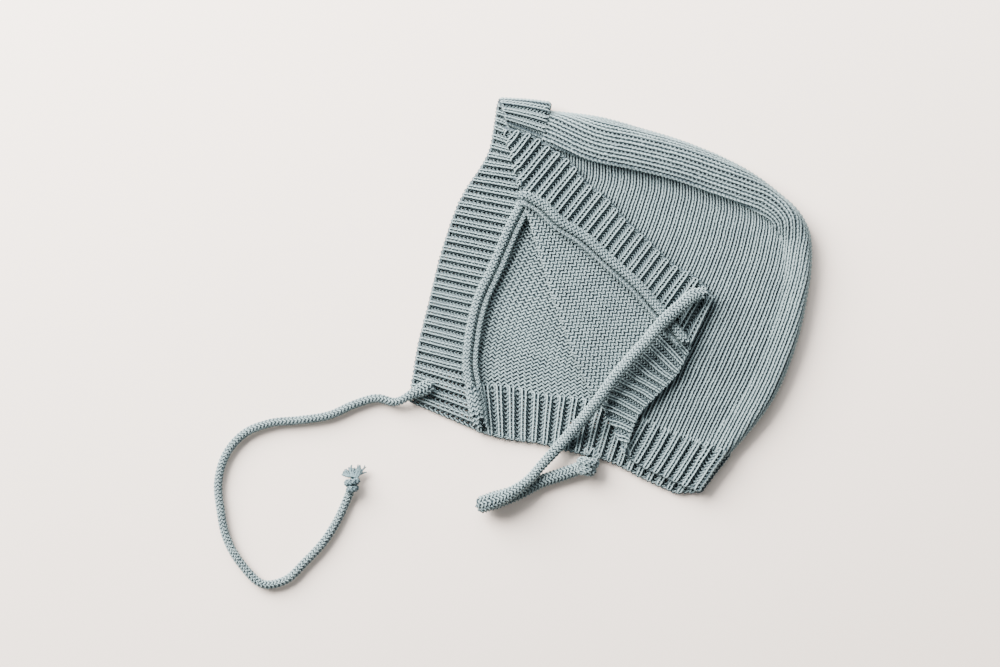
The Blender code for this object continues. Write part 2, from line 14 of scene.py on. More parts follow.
import bpy
import numpy as np
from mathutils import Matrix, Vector


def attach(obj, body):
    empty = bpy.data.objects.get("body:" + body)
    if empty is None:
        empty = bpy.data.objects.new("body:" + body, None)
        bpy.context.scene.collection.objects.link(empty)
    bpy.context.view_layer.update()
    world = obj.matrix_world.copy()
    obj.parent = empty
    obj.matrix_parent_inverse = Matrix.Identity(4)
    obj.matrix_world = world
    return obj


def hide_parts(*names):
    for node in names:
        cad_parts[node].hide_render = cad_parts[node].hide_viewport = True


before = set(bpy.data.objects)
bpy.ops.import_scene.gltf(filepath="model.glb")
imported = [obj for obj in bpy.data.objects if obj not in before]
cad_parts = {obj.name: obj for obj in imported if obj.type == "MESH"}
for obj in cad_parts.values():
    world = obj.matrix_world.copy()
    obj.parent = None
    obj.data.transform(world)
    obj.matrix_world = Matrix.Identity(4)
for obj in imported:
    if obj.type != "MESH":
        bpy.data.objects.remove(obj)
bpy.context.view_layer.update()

log = logging.getLogger("bonnet")

FACE_DEPTH = 0.150  # from the crown to the neck along the front edge
WALL = 0.0024  # plain knitting
RIB_WALL = 0.0020
RIB_WAVE = 0.0005  # how far a rib rises and a groove sinks
RIB_GAP = 0.0004  # between a ribbed band and what lies under or over it
FOLD_RADIUS = 0.0019  # of the middle of the wall where the corner turns back
FOLD_EASE = 0.0031  # added to the gap between bands and side where they turn back
PART_HEIGHT = 0.0090  # middle of the left side's wall over the floor
ROLL_HEIGHT = 0.0150  # middle of the wall at the crest of the crown
LIP = 0.0022  # how far the crown hangs over the left side
SEAM_WIDTH = 0.0050
TIE_DIAMETER = 0.0058
RIGHT_TIE_DIAMETER = 0.0047
MIDDLE = np.array([-0.00038, 0.00116, 0.0])  # of the bonnet, from the point that the tables start at

LOWER_BRIM_RIBS = 31
CROWN_BRIM_RIBS = 10
UPPER_BRIM_RIBS = 24
LOWER_NECK_RIBS = 19
BACK_NECK_RIBS = 4
UPPER_NECK_RIBS = 19

FOLD_START = (-0.342, 0.549)
FOLD_WAY = (0.284, -0.959)
FOLD_REACH = 0.352  # how far from the fold its shift still shows
FOLD_SHIFT = np.array(
    [  # down the fold, shift to the back
        (-0.20, 0.011),
        (0.00, 0.011),
        (0.22, 0.004),
        (0.38, 0.003),
        (0.56, 0.006),
        (0.76, 0.016),
        (0.89, 0.035),
        (0.945, 0.062),
        (1.03, 0.078),
        (1.13, 0.088),
        (1.40, 0.092),
    ]
)
RISE = np.array(
    [  # over the neck, share of PART_HEIGHT
        (-0.20, 0.56),
        (0.00, 0.58),
        (0.07, 0.63),
        (0.18, 0.77),
        (0.34, 0.93),
        (0.60, 1.00),
        (1.00, 1.00),
    ]
)
NECK_CHORD = ((0.147, -0.555), (0.467, 0.884))  # a point of the neck line, and the way up from it

LOWER_BRIM_EDGE = np.array(
    [  # across, up
        (-0.643, -0.334),
        (-0.618, -0.168),
        (-0.579, -0.008),
        (-0.538, 0.152),
        (-0.480, 0.312),
        (-0.387, 0.472),
        (-0.371, 0.552),
    ]
)
LOWER_BRIM_SEAM = np.array(
    [  # across, up
        (-0.432, -0.424),
        (-0.442, -0.350),
        (-0.454, -0.293),
        (-0.467, -0.216),
        (-0.461, -0.136),
        (-0.435, -0.014),
        (-0.381, 0.109),
        (-0.320, 0.250),
        (-0.272, 0.344),
        (-0.221, 0.488),
    ]
)
LOWER_SEAM_CORNER = 2  # the row where the neck band starts
LOWER_NECK_TOP = np.array(
    [  # across, up
        (-0.454, -0.293),
        (-0.320, -0.302),
        (-0.230, -0.325),
        (-0.118, -0.338),
        (0.000, -0.363),
        (0.154, -0.427),
        (0.294, -0.478),
    ]
)
LOWER_NECK_EDGE = np.array(
    [  # across, up
        (-0.432, -0.424),
        (-0.342, -0.446),
        (-0.230, -0.462),
        (-0.141, -0.485),
        (0.000, -0.523),
        (0.109, -0.578),
        (0.205, -0.621),
    ]
)
UPPER_BRIM_EDGE = np.array(
    [  # across, up, on the flap
        (-0.330, 0.546, 0),
        (-0.275, 0.517, 1),
        (-0.198, 0.469, 1),
        (-0.141, 0.430, 1),
        (-0.083, 0.357, 1),
        (-0.019, 0.309, 1),
        (0.035, 0.245, 1),
        (0.109, 0.178, 1),
        (0.189, 0.101, 1),
        (0.269, 0.053, 1),
        (0.317, -0.008, 1),
    ]
)
UPPER_BRIM_SEAM = np.array(
    [  # across, up, on the flap
        (-0.221, 0.488, 0),
        (-0.262, 0.392, 0),
        (-0.211, 0.290, 1),
        (-0.166, 0.245, 1),
        (-0.102, 0.206, 1),
        (0.003, 0.114, 1),
        (0.086, 0.040, 1),
        (0.141, -0.024, 1),
        (0.173, -0.062, 1),
        (0.246, -0.155, 1),
    ]
)
UPPER_SEAM_CORNER = 8  # the row where the neck band ends
UPPER_NECK_TOP = np.array(
    [  # across, up, on the flap
        (0.294, -0.478, 0),
        (0.218, -0.450, 0),
        (0.138, -0.418, 0),
        (0.045, -0.373, 0),
        (0.000, -0.277, 1),
        (0.054, -0.200, 1),
        (0.115, -0.136, 1),
        (0.173, -0.062, 1),
    ]
)
UPPER_NECK_EDGE = np.array(
    [  # across, up, on the flap
        (0.221, -0.595, 0),
        (0.109, -0.542, 0),
        (0.086, -0.366, 1),
        (0.141, -0.306, 1),
        (0.208, -0.232, 1),
        (0.246, -0.155, 1),
    ]
)

# Sections of the cloth that turns over the crown, down the back and round the neck. The columns
# are outer across, outer up, top across, top up, low across, low up, crest, lip and edge: crest in
# shares of ROLL_HEIGHT, lip of LIP and edge of WALL.
BRIM_WRAP = np.array(
    [
        (-0.358, 0.634, -0.330, 0.546, -0.371, 0.552, 0.84, 0.0, 0.0),
        (-0.280, 0.631, -0.276, 0.517, -0.296, 0.520, 0.86, 0.0, 0.0),
        (-0.200, 0.622, -0.221, 0.488, -0.221, 0.488, 0.88, 0.0, 0.0),
    ]
)
CROWN_WRAP = np.array(
    [
        (-0.202, 0.597, -0.2225, 0.486, -0.2225, 0.486, 0.90, 0.5, 1.3),
        (-0.038, 0.576, -0.070, 0.424, -0.070, 0.424, 1.00, 1.0, 1.3),
        (0.090, 0.541, 0.058, 0.398, 0.058, 0.398, 1.03, 1.0, 1.3),
        (0.243, 0.493, 0.205, 0.360, 0.205, 0.360, 1.02, 1.0, 1.3),
        (0.346, 0.451, 0.301, 0.325, 0.301, 0.325, 0.98, 1.0, 1.3),
        (0.448, 0.397, 0.394, 0.291, 0.394, 0.291, 0.93, 1.0, 1.30),
        (0.528, 0.338, 0.464, 0.262, 0.464, 0.262, 0.87, 0.6, 1.30),
        (0.602, 0.267, 0.515, 0.233, 0.515, 0.233, 0.80, 0.0, 1.00),
        (0.632, 0.206, 0.542, 0.185, 0.542, 0.185, 0.67, 0.0, 0.0),
        (0.638, 0.136, 0.554, 0.114, 0.554, 0.114, 0.63, 0.0, 0.0),
        (0.621, -0.014, 0.541, -0.008, 0.541, -0.008, 0.61, 0.0, 0.0),
        (0.576, -0.190, 0.496, -0.158, 0.496, -0.158, 0.59, 0.0, 0.0),
        (0.522, -0.315, 0.445, -0.270, 0.445, -0.270, 0.55, 0.0, 0.0),
        (0.429, -0.443, 0.362, -0.392, 0.362, -0.392, 0.49, 0.0, 0.0),
        (0.371, -0.507, 0.296, -0.474, 0.294, -0.477, 0.46, 0.0, 0.0),
    ]
)
NECK_WRAP = np.array(
    [
        (0.370, -0.509, 0.294, -0.478, 0.294, -0.478, 0.46, 0.0, 0.0),
        (0.333, -0.558, 0.259, -0.536, 0.250, -0.549, 0.41, 0.0, 0.0),
        (0.290, -0.617, 0.221, -0.595, 0.205, -0.621, 0.37, 0.0, 0.0),
    ]
)
WALE_LEAN = np.array(
    [  # share of the way up the back, lean of the left side's columns of stitches in degrees, width
        # of a stitch in shares of the gauge
        (0.00, -13.0, 1.13),
        (0.20, -9.0, 1.12),
        (0.32, -4.0, 1.10),
        (0.50, 1.0, 1.05),
        (0.70, 7.0, 1.00),
        (0.80, 12.0, 0.99),
        (0.92, 22.0, 0.97),
        (1.00, 26.0, 0.97),
    ]
)
CREASE_ROWS = 8  # rows of CROWN_WRAP whose inner edge is the crease; the rest run down the back
SECTION = np.array(
    [  # share of the way in from the outer line, walls in from it, share of the rise
        (1.00, 0.0, 0.00),
        (0.55, 0.0, 0.00),
        (0.17, 0.0, 0.01),
        (0.00, 0.5, 0.34),
        (0.05, 0.5, 0.70),
        (0.25, 0.0, 0.95),
        (0.50, 0.0, 1.00),
    ]
)
SECTION_TOP = np.array(
    [  # the part past the crest: way in, walls in, share of the crest over the edge
        (0.76, 0.0, 0.86),
        (0.97, -0.5, 0.45),
    ]
)
FLUSH_RISE = 0.10  # the last rise of SECTION_TOP where the crown has no lip

RIGHT_TIE = np.array(
    [  # across, up, height of the middle in tie diameters
        (-0.573, -0.275, 1.26),
        (-0.600, -0.290, 1.27),
        (-0.640, -0.310, 1.20),
        (-0.694, -0.334, 0.72),
        (-0.749, -0.322, 0.52),
        (-0.822, -0.341, 0.52),
        (-0.902, -0.376, 0.52),
        (-0.998, -0.392, 0.52),
        (-1.094, -0.402, 0.52),
        (-1.174, -0.434, 0.52),
        (-1.229, -0.494, 0.52),
        (-1.258, -0.584, 0.52),
        (-1.251, -0.680, 0.52),
        (-1.229, -0.776, 0.52),
        (-1.181, -0.856, 0.52),
        (-1.110, -0.917, 0.52),
        (-1.046, -0.904, 0.52),
        (-0.982, -0.846, 0.52),
        (-0.918, -0.776, 0.52),
        (-0.870, -0.696, 0.52),
        (-0.8385, -0.6244, 0.53),
    ]
)
LEFT_TIE = np.array(
    [  # across, up, height of the middle in tie diameters
        (0.292, 0.012, 3.00),
        (0.262, 0.008, 3.04),
        (0.211, -0.030, 3.28),
        (0.150, -0.085, 3.44),
        (0.115, -0.128, 3.38),
        (0.067, -0.181, 3.12),
        (0.006, -0.251, 2.95),
        (-0.051, -0.331, 2.60),
        (-0.105, -0.400, 1.60),
        (-0.144, -0.445, 1.12),
        (-0.190, -0.496, 1.12),
        (-0.227, -0.536, 1.12),
        (-0.262, -0.576, 1.38),
        (-0.298, -0.605, 1.60),
        (-0.346, -0.634, 1.62),
        (-0.396, -0.653, 1.50),
        (-0.420, -0.661, 1.08),
        (-0.398, -0.655, 0.62),
        (-0.365, -0.644, 0.52),
        (-0.310, -0.626, 0.52),
        (-0.230, -0.588, 0.52),
        (-0.160, -0.565, 0.52),
        (-0.1125, -0.548, 0.66),
    ]
)


def distances(points: np.ndarray) -> np.ndarray:
    """Distance of each point from the first, along straight steps."""
    return np.concatenate([[0.0], np.cumsum(np.linalg.norm(np.diff(points, axis=0), axis=1))])


@dataclass(frozen=True)
class SmoothLine:
    """A smooth curve through points, each span a cubic whose slopes blend those of its neighbours.

    Args:
        points: the points, a row each.
        columns: how many columns are places, where the others only go with them.
    """

    points: np.ndarray
    columns: int | None = None

    def runs(self) -> np.ndarray:
        """Distance of each point from the first."""
        return distances(np.asarray(self.points, float)[:, : self.columns])

    def share_of(self, row: int) -> float:
        """The share of the length at which the curve passes a row of its table."""
        runs = self.runs()
        return float(runs[row] / runs[-1])

    def at(self, shares: np.ndarray) -> np.ndarray:
        """Points of the curve.

        Args:
            shares: shares of the length, each from 0 to 1.

        Returns:
            A row of coordinates for each share: the cubic with a given value and slope at both ends
            of its span.
        """
        points = np.asarray(self.points, float)
        knots = self.runs()
        spans = np.diff(knots)[:, None]
        slopes = np.diff(points, axis=0) / spans
        inner = (slopes[:-1] * spans[1:] + slopes[1:] * spans[:-1]) / (spans[1:] + spans[:-1])
        slopes = np.concatenate([slopes[:1], inner, slopes[-1:]])
        where = np.clip(np.asarray(shares, float), 0.0, 1.0) * knots[-1]
        row = np.clip(np.searchsorted(knots, where, side="right") - 1, 0, len(knots) - 2)
        span = spans[row]
        s = (where - knots[row])[:, None] / span
        return (
            points[row] * (2 * s**3 - 3 * s**2 + 1)
            + slopes[row] * span * (s**3 - 2 * s**2 + s)
            + points[row + 1] * (3 * s**2 - 2 * s**3)
            + slopes[row + 1] * span * (s**3 - s**2)
        )


def left_side_height(plan: np.ndarray) -> np.ndarray:
    """Height of the middle of the left side's wall over plan points: it sinks towards the neck."""
    start, way = np.array(NECK_CHORD)
    over = (plan / FACE_DEPTH - start) @ (way / np.linalg.norm(way))
    return PART_HEIGHT * np.interp(over, RISE[:, 0], RISE[:, 1])


def fold_frame() -> tuple[np.ndarray, np.ndarray, np.ndarray]:
    """The start of the fold line, the way down it and the way to the back of the head."""
    way = np.array(FOLD_WAY) / np.linalg.norm(FOLD_WAY)
    return np.array(FOLD_START) * FACE_DEPTH, way, np.array([-way[1], way[0]])


def fold_shift(down: np.ndarray, across: np.ndarray) -> np.ndarray:
    """How far the fold lies behind its straight line: a table down it, fading as a bell across it."""
    shift = np.interp(down / FACE_DEPTH, FOLD_SHIFT[:, 0], FOLD_SHIFT[:, 1]) * FACE_DEPTH
    return shift * np.exp(-((across / (FOLD_REACH * FACE_DEPTH)) ** 2))


def turned_back(flat: np.ndarray) -> np.ndarray:
    """Points of the left side in space.

    Args:
        flat: distance down the fold and across it. Across is positive where the cloth lies flat, and
            negative where it turns back over half a circle of FOLD_RADIUS and then lies on top.

    Returns:
        The points, at the height of the side plus the rise of the half circle.
    """
    start, way, back = fold_frame()
    down, across = flat[..., 0], flat[..., 1]
    angle = np.clip(-across / FOLD_RADIUS, 0.0, math.pi)
    arc = np.pi * FOLD_RADIUS
    out = np.where(across > 0, across, np.where(across < -arc, -across - arc, 0.0))
    out = out - FOLD_RADIUS * np.sin(angle)
    out = out + fold_shift(down, out)
    plan = start + down[..., None] * way + out[..., None] * back
    height = left_side_height(plan) + FOLD_RADIUS * (1 - np.cos(angle))
    return np.concatenate([plan, height[..., None]], axis=-1)


def laid_out(table: np.ndarray) -> np.ndarray:
    """Distances down and across the fold of plan points, each marked 1 where it is on the flap."""
    start, way, back = fold_frame()
    plan = table[:, :2] * FACE_DEPTH - start
    down, seen = plan @ way, plan @ back
    out = seen.copy()
    for _ in range(40):
        out = seen - fold_shift(down, out)
    across = np.where(table[:, 2] > 0.5, -out - np.pi * FOLD_RADIUS, np.maximum(out, 0.0))
    return np.stack([down, across], axis=-1)


def wrap_section(row: np.ndarray, count: int) -> np.ndarray:
    """One section of the cloth round the outer line, from the underside to the top."""
    outer, top, low = row[0:2] * FACE_DEPTH, row[2:4] * FACE_DEPTH, row[4:6] * FACE_DEPTH
    crest, lip = row[6] * ROLL_HEIGHT, row[7] * LIP
    edge = left_side_height(top) + row[8] * WALL
    crest = max(crest, edge)
    base = WALL / 2
    wide, deep = np.linalg.norm(top - outer), np.linalg.norm(low - outer)
    points = []
    for share, walls, rise in SECTION:
        target, reach = (low, deep) if rise < 0.3 else (top, wide)
        into = share * (reach - (lip if share == 1.0 else 0.0)) + walls * WALL
        plan = outer + (target - outer) / reach * into
        points.append((*plan, base + rise * (crest - base)))
    for share, walls, rise in SECTION_TOP:
        if share > 0.9:
            rise = FLUSH_RISE + (rise - FLUSH_RISE) * min(max(row[7], 0.0), 1.0)
        plan = outer + (top - outer) / wide * (share * wide + walls * WALL)
        points.append((*plan, edge + rise * (crest - edge)))
    points.append((*(outer + (top - outer) / wide * (wide - lip)), edge))
    section = SmoothLine(np.array(points)).at(np.linspace(0.0, 1.0, count))
    section[:, 2] = np.maximum(section[:, 2], base)
    return section


def wrapped(table: np.ndarray, shares: np.ndarray, count: int) -> np.ndarray:
    """The cloth round the outer line at shares along the table, as count points by len(shares)."""
    rows = SmoothLine(table, 2).at(shares)
    return np.stack([wrap_section(row, count) for row in rows], axis=1)


def tucked(table: np.ndarray) -> np.ndarray:
    """The line that the edge of the wrapped cloth follows on the left side."""
    outer, top = table[:, 0:2], table[:, 2:4]
    wide = np.linalg.norm(top - outer, axis=1, keepdims=True)
    return outer + (top - outer) / wide * (wide - table[:, 7:8] * LIP / FACE_DEPTH)


def patch(sides: tuple[np.ndarray, ...], across: np.ndarray, up: np.ndarray) -> np.ndarray:
    """A surface patch between four curves.

    Args:
        sides: the left, right, bottom and top curves, each a row of points from 0 to 1.
        across: where along the bottom and top curves.
        up: where along the left and right curves.

    Returns:
        The blend of the two side curves plus the blend of the two end curves, less the blend of the
        four corners, as len(across) by len(up) points.
    """
    left, right, bottom, top = (SmoothLine(side) for side in sides)
    u, v = across[:, None, None], up[None, :, None]
    west, east = left.at(up)[None], right.at(up)[None]
    south, north = bottom.at(across)[:, None], top.at(across)[:, None]
    ends = bottom.at(np.array([0.0, 1.0])), top.at(np.array([0.0, 1.0]))
    corners = (
        (1 - u) * (1 - v) * ends[0][0]
        + u * (1 - v) * ends[0][1]
        + (1 - u) * v * ends[1][0]
        + u * v * ends[1][1]
    )
    return (1 - u) * west + u * east + (1 - v) * south + v * north - corners


def strip(
    edge: np.ndarray, seam: np.ndarray, shares: np.ndarray, rows: np.ndarray, lead: float = 0.0
) -> np.ndarray:
    """A band between two lines: the straight blend of their points at the same shares.

    Args:
        edge: the first line.
        seam: the second.
        shares: where along both.
        rows: where between them.
        lead: how much further along the second its points are, away from its ends.

    Returns:
        The band, as len(shares) by len(rows) points.
    """
    ahead = shares + lead * np.clip(np.minimum(shares, 1 - shares) / 0.15, 0.0, 1.0)
    a, b = SmoothLine(edge).at(shares)[:, None], SmoothLine(seam).at(ahead)[:, None]
    v = rows[None, :, None]
    return (1 - v) * a + v * b


def within(points: np.ndarray, outline: np.ndarray) -> np.ndarray:
    """Whether points lie in a closed outline: a line from each crosses it an odd number of times."""
    x, y = points[..., 0][..., None], points[..., 1][..., None]
    start, end = outline, np.roll(outline, -1, axis=0)
    spans = (start[:, 1] > y) != (end[:, 1] > y)
    slope = (end[:, 0] - start[:, 0]) / np.where(end[:, 1] == start[:, 1], 1.0, end[:, 1] - start[:, 1])
    return (spans & (x < start[:, 0] + (y - start[:, 1]) * slope)).sum(axis=-1) % 2 == 1


def eased(flat: np.ndarray, row: int, towards: int) -> np.ndarray:
    """The band with its row beside a side drawn back, as a bell, where the cloth turns over."""
    near = np.exp(-((flat[:, row, 1] / (3 * FOLD_RADIUS)) ** 2))[:, None]
    way = flat[:, towards] - flat[:, row]
    band = flat.copy()
    band[:, row] += near * way / np.linalg.norm(way, axis=1, keepdims=True) * FOLD_EASE
    return band


def on_floor(plan: np.ndarray, height: float) -> np.ndarray:
    """Plan points at one height."""
    return np.concatenate([plan, np.full(plan.shape[:-1] + (1,), height)], axis=-1)


def unit(vectors: np.ndarray) -> np.ndarray:
    """The vectors at length 1."""
    return vectors / np.maximum(np.linalg.norm(vectors, axis=-1, keepdims=True), 1e-12)


class Socket:
    """An output of a shader node, or a number, with arithmetic that adds the nodes for it."""

    def __init__(self, graph: "Graph", source: Any) -> None:
        self.graph = graph
        self.source = source

    def _math(self, operation: str, *others: "Socket | float", turned: bool = False) -> "Socket":
        """A Math node of this and the others, which come first where turned is true."""
        terms = [*others, self] if turned else [self, *others]
        return self.graph.node("ShaderNodeMath", dict(enumerate(terms)), operation=operation)

    def __add__(self, other: "Socket | float") -> "Socket":
        """The sum."""
        return self._math("ADD", other)

    def __sub__(self, other: "Socket | float") -> "Socket":
        """The difference."""
        return self._math("SUBTRACT", other)

    def __rsub__(self, other: "Socket | float") -> "Socket":
        """The other less this."""
        return self._math("SUBTRACT", other, turned=True)

    def __mul__(self, other: "Socket | float") -> "Socket":
        """The product."""
        return self._math("MULTIPLY", other)

    def wave(self) -> "Socket":
        """The sine."""
        return self._math("SINE")

    def kept(self) -> "Socket":
        """The value, held between 0 and 1."""
        return self.graph.node("ShaderNodeClamp", {"Value": self})


class Graph:
    """A material and the one way to add nodes to it."""

    def __init__(self, name: str) -> None:
        self.material = bpy.data.materials.new(name)
        self.material.use_nodes = True
        self.tree = self.material.node_tree
        self.shader = self.tree.nodes["Principled BSDF"]

    def join(self, value: Any, into: Any) -> None:
        """Links a socket's output to an input, or sets the input to a plain value."""
        if isinstance(value, Socket):
            self.tree.links.new(value.source, into)
        else:
            into.default_value = value

    def node(self, kind: str, inputs: dict, output: Any = 0, **settings: Any) -> Socket:
        """Adds a node.

        Args:
            kind: the node's type.
            inputs: sockets, numbers or colours by input name or index.
            output: name or index of the output that is wanted.
            settings: the node's own properties.

        Returns:
            The output, as a socket.
        """
        made = self.tree.nodes.new(kind)
        for name, value in settings.items():
            setattr(made, name, value)
        for name, value in inputs.items():
            self.join(value, made.inputs[name])
        return Socket(self, made.outputs[output])

    def blend(self, share: Socket, first: tuple, second: tuple) -> Socket:
        """A colour between two, by a share, from the Mix node's sockets for colours."""
        inputs = {0: share, 6: (*first, 1.0), 7: (*second, 1.0)}
        return self.node("ShaderNodeMix", inputs, 2, data_type="RGBA")


class Use(Enum):
    """What a yarn's fibres show most: combed smooth, or teased out at a cut end."""

    KNITTED = 1.0
    FRAYED = 1.9


@dataclass(frozen=True)
class CottonWithPaintedShade:
    """Matt cotton yarn: plies that twist round it, slow and fine changes of colour, and painted shade at
    its sides and where it dips under its neighbours.

    Args:
        name: of the material.
        light: colour of the fibres that catch the light, the lit end of the blend.
        deep: colour at the yarn's sides, where it lies against its neighbours: painted shade at the dark
            end of the blend, which the fibres and slow patches of tone reach too.
        twist: length over which one ply passes to the next, in metres.
        relief: height of the plies, in metres.
        use: how much the fibres stand out.
        shade: how much painted shade darkens the yarn where it dips under its neighbours.
    """

    name: str
    light: tuple[float, float, float] = (0.265, 0.352, 0.362)
    deep: tuple[float, float, float] = (0.015, 0.030, 0.040)
    twist: float = 0.0011
    relief: float = 0.00016
    use: Use = Use.KNITTED
    shade: float = 0.62

    def material(self) -> bpy.types.Material:
        """The material: the square of one less the square of the sine of the turn round the yarn lightens
        its face, painted shade on its sides; a sine of the place along it plus twice the turn is the ply,
        whose colour paints shade in the grooves between plies; noise in the object's own coordinates
        gives fibres and slow patches of tone; and the side of the yarn that faces the cloth's surface
        gets painted shade by its depth below that surface."""
        graph = Graph(self.name)
        place = graph.node("ShaderNodeTexCoord", {}, "Object")
        yarn = graph.node("ShaderNodeUVMap", {}, uv_map="Yarn")
        along = graph.node("ShaderNodeSeparateXYZ", {0: yarn}, 0)
        round_it = graph.node("ShaderNodeSeparateXYZ", {0: yarn}, 1)
        # ply: painted shade in the grooves between plies; the same ply also drives the bump.
        ply = ((along * (0.001 / self.twist) + round_it * 2.0) * (2 * math.pi)).wave() * 0.5 + 0.5
        # side and face: the top of the yarn lighter and its sides darker, painted shade.
        side = (round_it * (2 * math.pi)).wave()
        face = 1.0 - side * side
        # front, Sunk and under: painted shade on the side of the yarn that faces the cloth's surface, by
        # its depth below it.
        front = (round_it * (2 * math.pi) + math.pi / 2).wave() * 0.5 + 0.5
        sunk = graph.node("ShaderNodeAttribute", {}, "Fac", attribute_name="Sunk")
        under = front * sunk + (1.0 - front) * (1.0 - sunk)
        fibre = graph.node("ShaderNodeTexNoise", {"Vector": place, "Scale": 2600.0, "Detail": 2.0})
        patchy = graph.node("ShaderNodeTexNoise", {"Vector": place, "Scale": 95.0, "Detail": 2.0})
        # tone: painted shade from face, ply and under, with the yarn's own fibres and slow patches of
        # tone.
        tone = face * face * 0.80 + ply * 0.20 + fibre * 0.50 * self.use.value + patchy * 0.34
        tone = (tone - under * self.shade - 0.30).kept()
        graph.join(graph.blend(tone, self.deep, self.light), graph.shader.inputs["Base Color"])
        height = ply * 0.7 + fibre * 0.5 * self.use.value
        bump = graph.node(
            "ShaderNodeBump", {"Height": height, "Distance": self.relief, "Strength": 0.7}
        )
        graph.join(bump, graph.shader.inputs["Normal"])
        graph.shader.inputs["Roughness"].default_value = 0.88
        return graph.material


@dataclass(frozen=True)
class FloorWithPaintedShade:
    """The plain warm white floor, with painted shade that grows away from the window.

    Args:
        colour: of the paint, at the side where the window is, where the painted shade is least.
        fall: how much darker the painted shade makes it at the other side, as a share.
        reach: how far apart those two places are, in metres.
    """

    colour: tuple[float, float, float] = (0.95, 0.835, 0.745)
    fall: float = 0.30
    reach: float = 0.36

    def material(self) -> bpy.types.Material:
        """A matt paint with painted shade that grows evenly away from the window, and a very faint change
        of tone over a hand's width."""
        graph = Graph("floor_paint_and_painted_shade")
        place = graph.node("ShaderNodeTexCoord", {}, "Object")
        cloud = graph.node("ShaderNodeTexNoise", {"Vector": place, "Scale": 5.0})
        up = graph.node("ShaderNodeSeparateXYZ", {0: place}, 1)
        # Painted shade: the colour darkens from the window side to the far side; the cloud is faint
        # random tone.
        tone = (up * (1.0 / self.reach) + 0.5).kept() * 0.8 + cloud * 0.2
        darker = tuple(c * (1.0 - self.fall) for c in self.colour)
        graph.join(graph.blend(tone, darker, self.colour), graph.shader.inputs["Base Color"])
        graph.shader.inputs["Roughness"].default_value = 0.7
        return graph.material


@dataclass(frozen=True)
class Gauge:
    """One kind of knitting.

    Args:
        wale: width of a stitch, in metres.
        course: height of a stitch.
        yarn: diameter of the yarn.
        slant: how far a loop narrows at its foot and widens at its head, in stitches.
        spread: how far the legs stand apart beyond half a stitch, in stitches each way.
        overlap: half a loop's height, in courses.
        depth: how far the legs stand before the middle of the cloth and the heads behind it.
        rib: height of a rib over the middle of the cloth, where every second stitch is a purl.
        points: points of yarn in a stitch.
    """

    wale: float = 0.00312
    course: float = 0.00172
    yarn: float = 0.00144
    slant: float = 0.20
    spread: float = 0.02
    overlap: float = 0.86
    depth: float = 0.00050
    rib: float = 0.0
    points: int = 8

    def loops(
        self, first: float, last: float, chance: np.random.Generator
    ) -> tuple[np.ndarray, np.ndarray, np.ndarray, np.ndarray]:
        """The yarn of a row of stitches.

        Args:
            first: where the row starts, in stitches.
            last: where it ends.
            chance: the source of the small unevenness of its loops.

        Returns:
            Across in stitches, up in courses, out of the cloth in metres, and how sunk the yarn is
            from 0 to 1. Across is the place less a sine of its turn plus a sine of twice its turn,
            up is a cosine of its turn, and out is a cosine of twice its turn. In ribbing out also
            rises over knit stitches and sinks over purls, and its sign turns over from one to the
            other. Sunk is a half less a half of out, as a share of its reach.
        """
        inner = np.arange(math.ceil(first * self.points), math.floor(last * self.points) + 1)
        t = np.unique(np.concatenate([[first], inner / self.points, [last]]).round(4))
        turn = 2 * np.pi * t
        stitch = np.floor(t).astype(int) - math.floor(first)
        uneven = chance.normal(0.0, 0.045, (3, stitch.max() + 1))[:, stitch] * np.sin(np.pi * t) ** 2
        across = t - self.spread * np.sin(turn) + self.slant * np.sin(2 * turn) + uneven[0] * 0.6
        up = 0.5 - self.overlap * np.cos(turn) + uneven[1]
        wave = -np.cos(2 * turn)
        out = self.depth * (wave + uneven[2])
        if self.rib:
            face = np.clip(2.0 * np.sin(np.pi * t), -1.0, 1.0)
            ridge = np.clip(1.6 * np.sin(np.pi * t), -1.0, 1.0)
            out = out * face + self.rib * ridge
            wave = 0.75 * wave * face + 0.55 * ridge
        return across, up, out, np.clip(0.5 - 0.5 * wave, 0.0, 1.0)


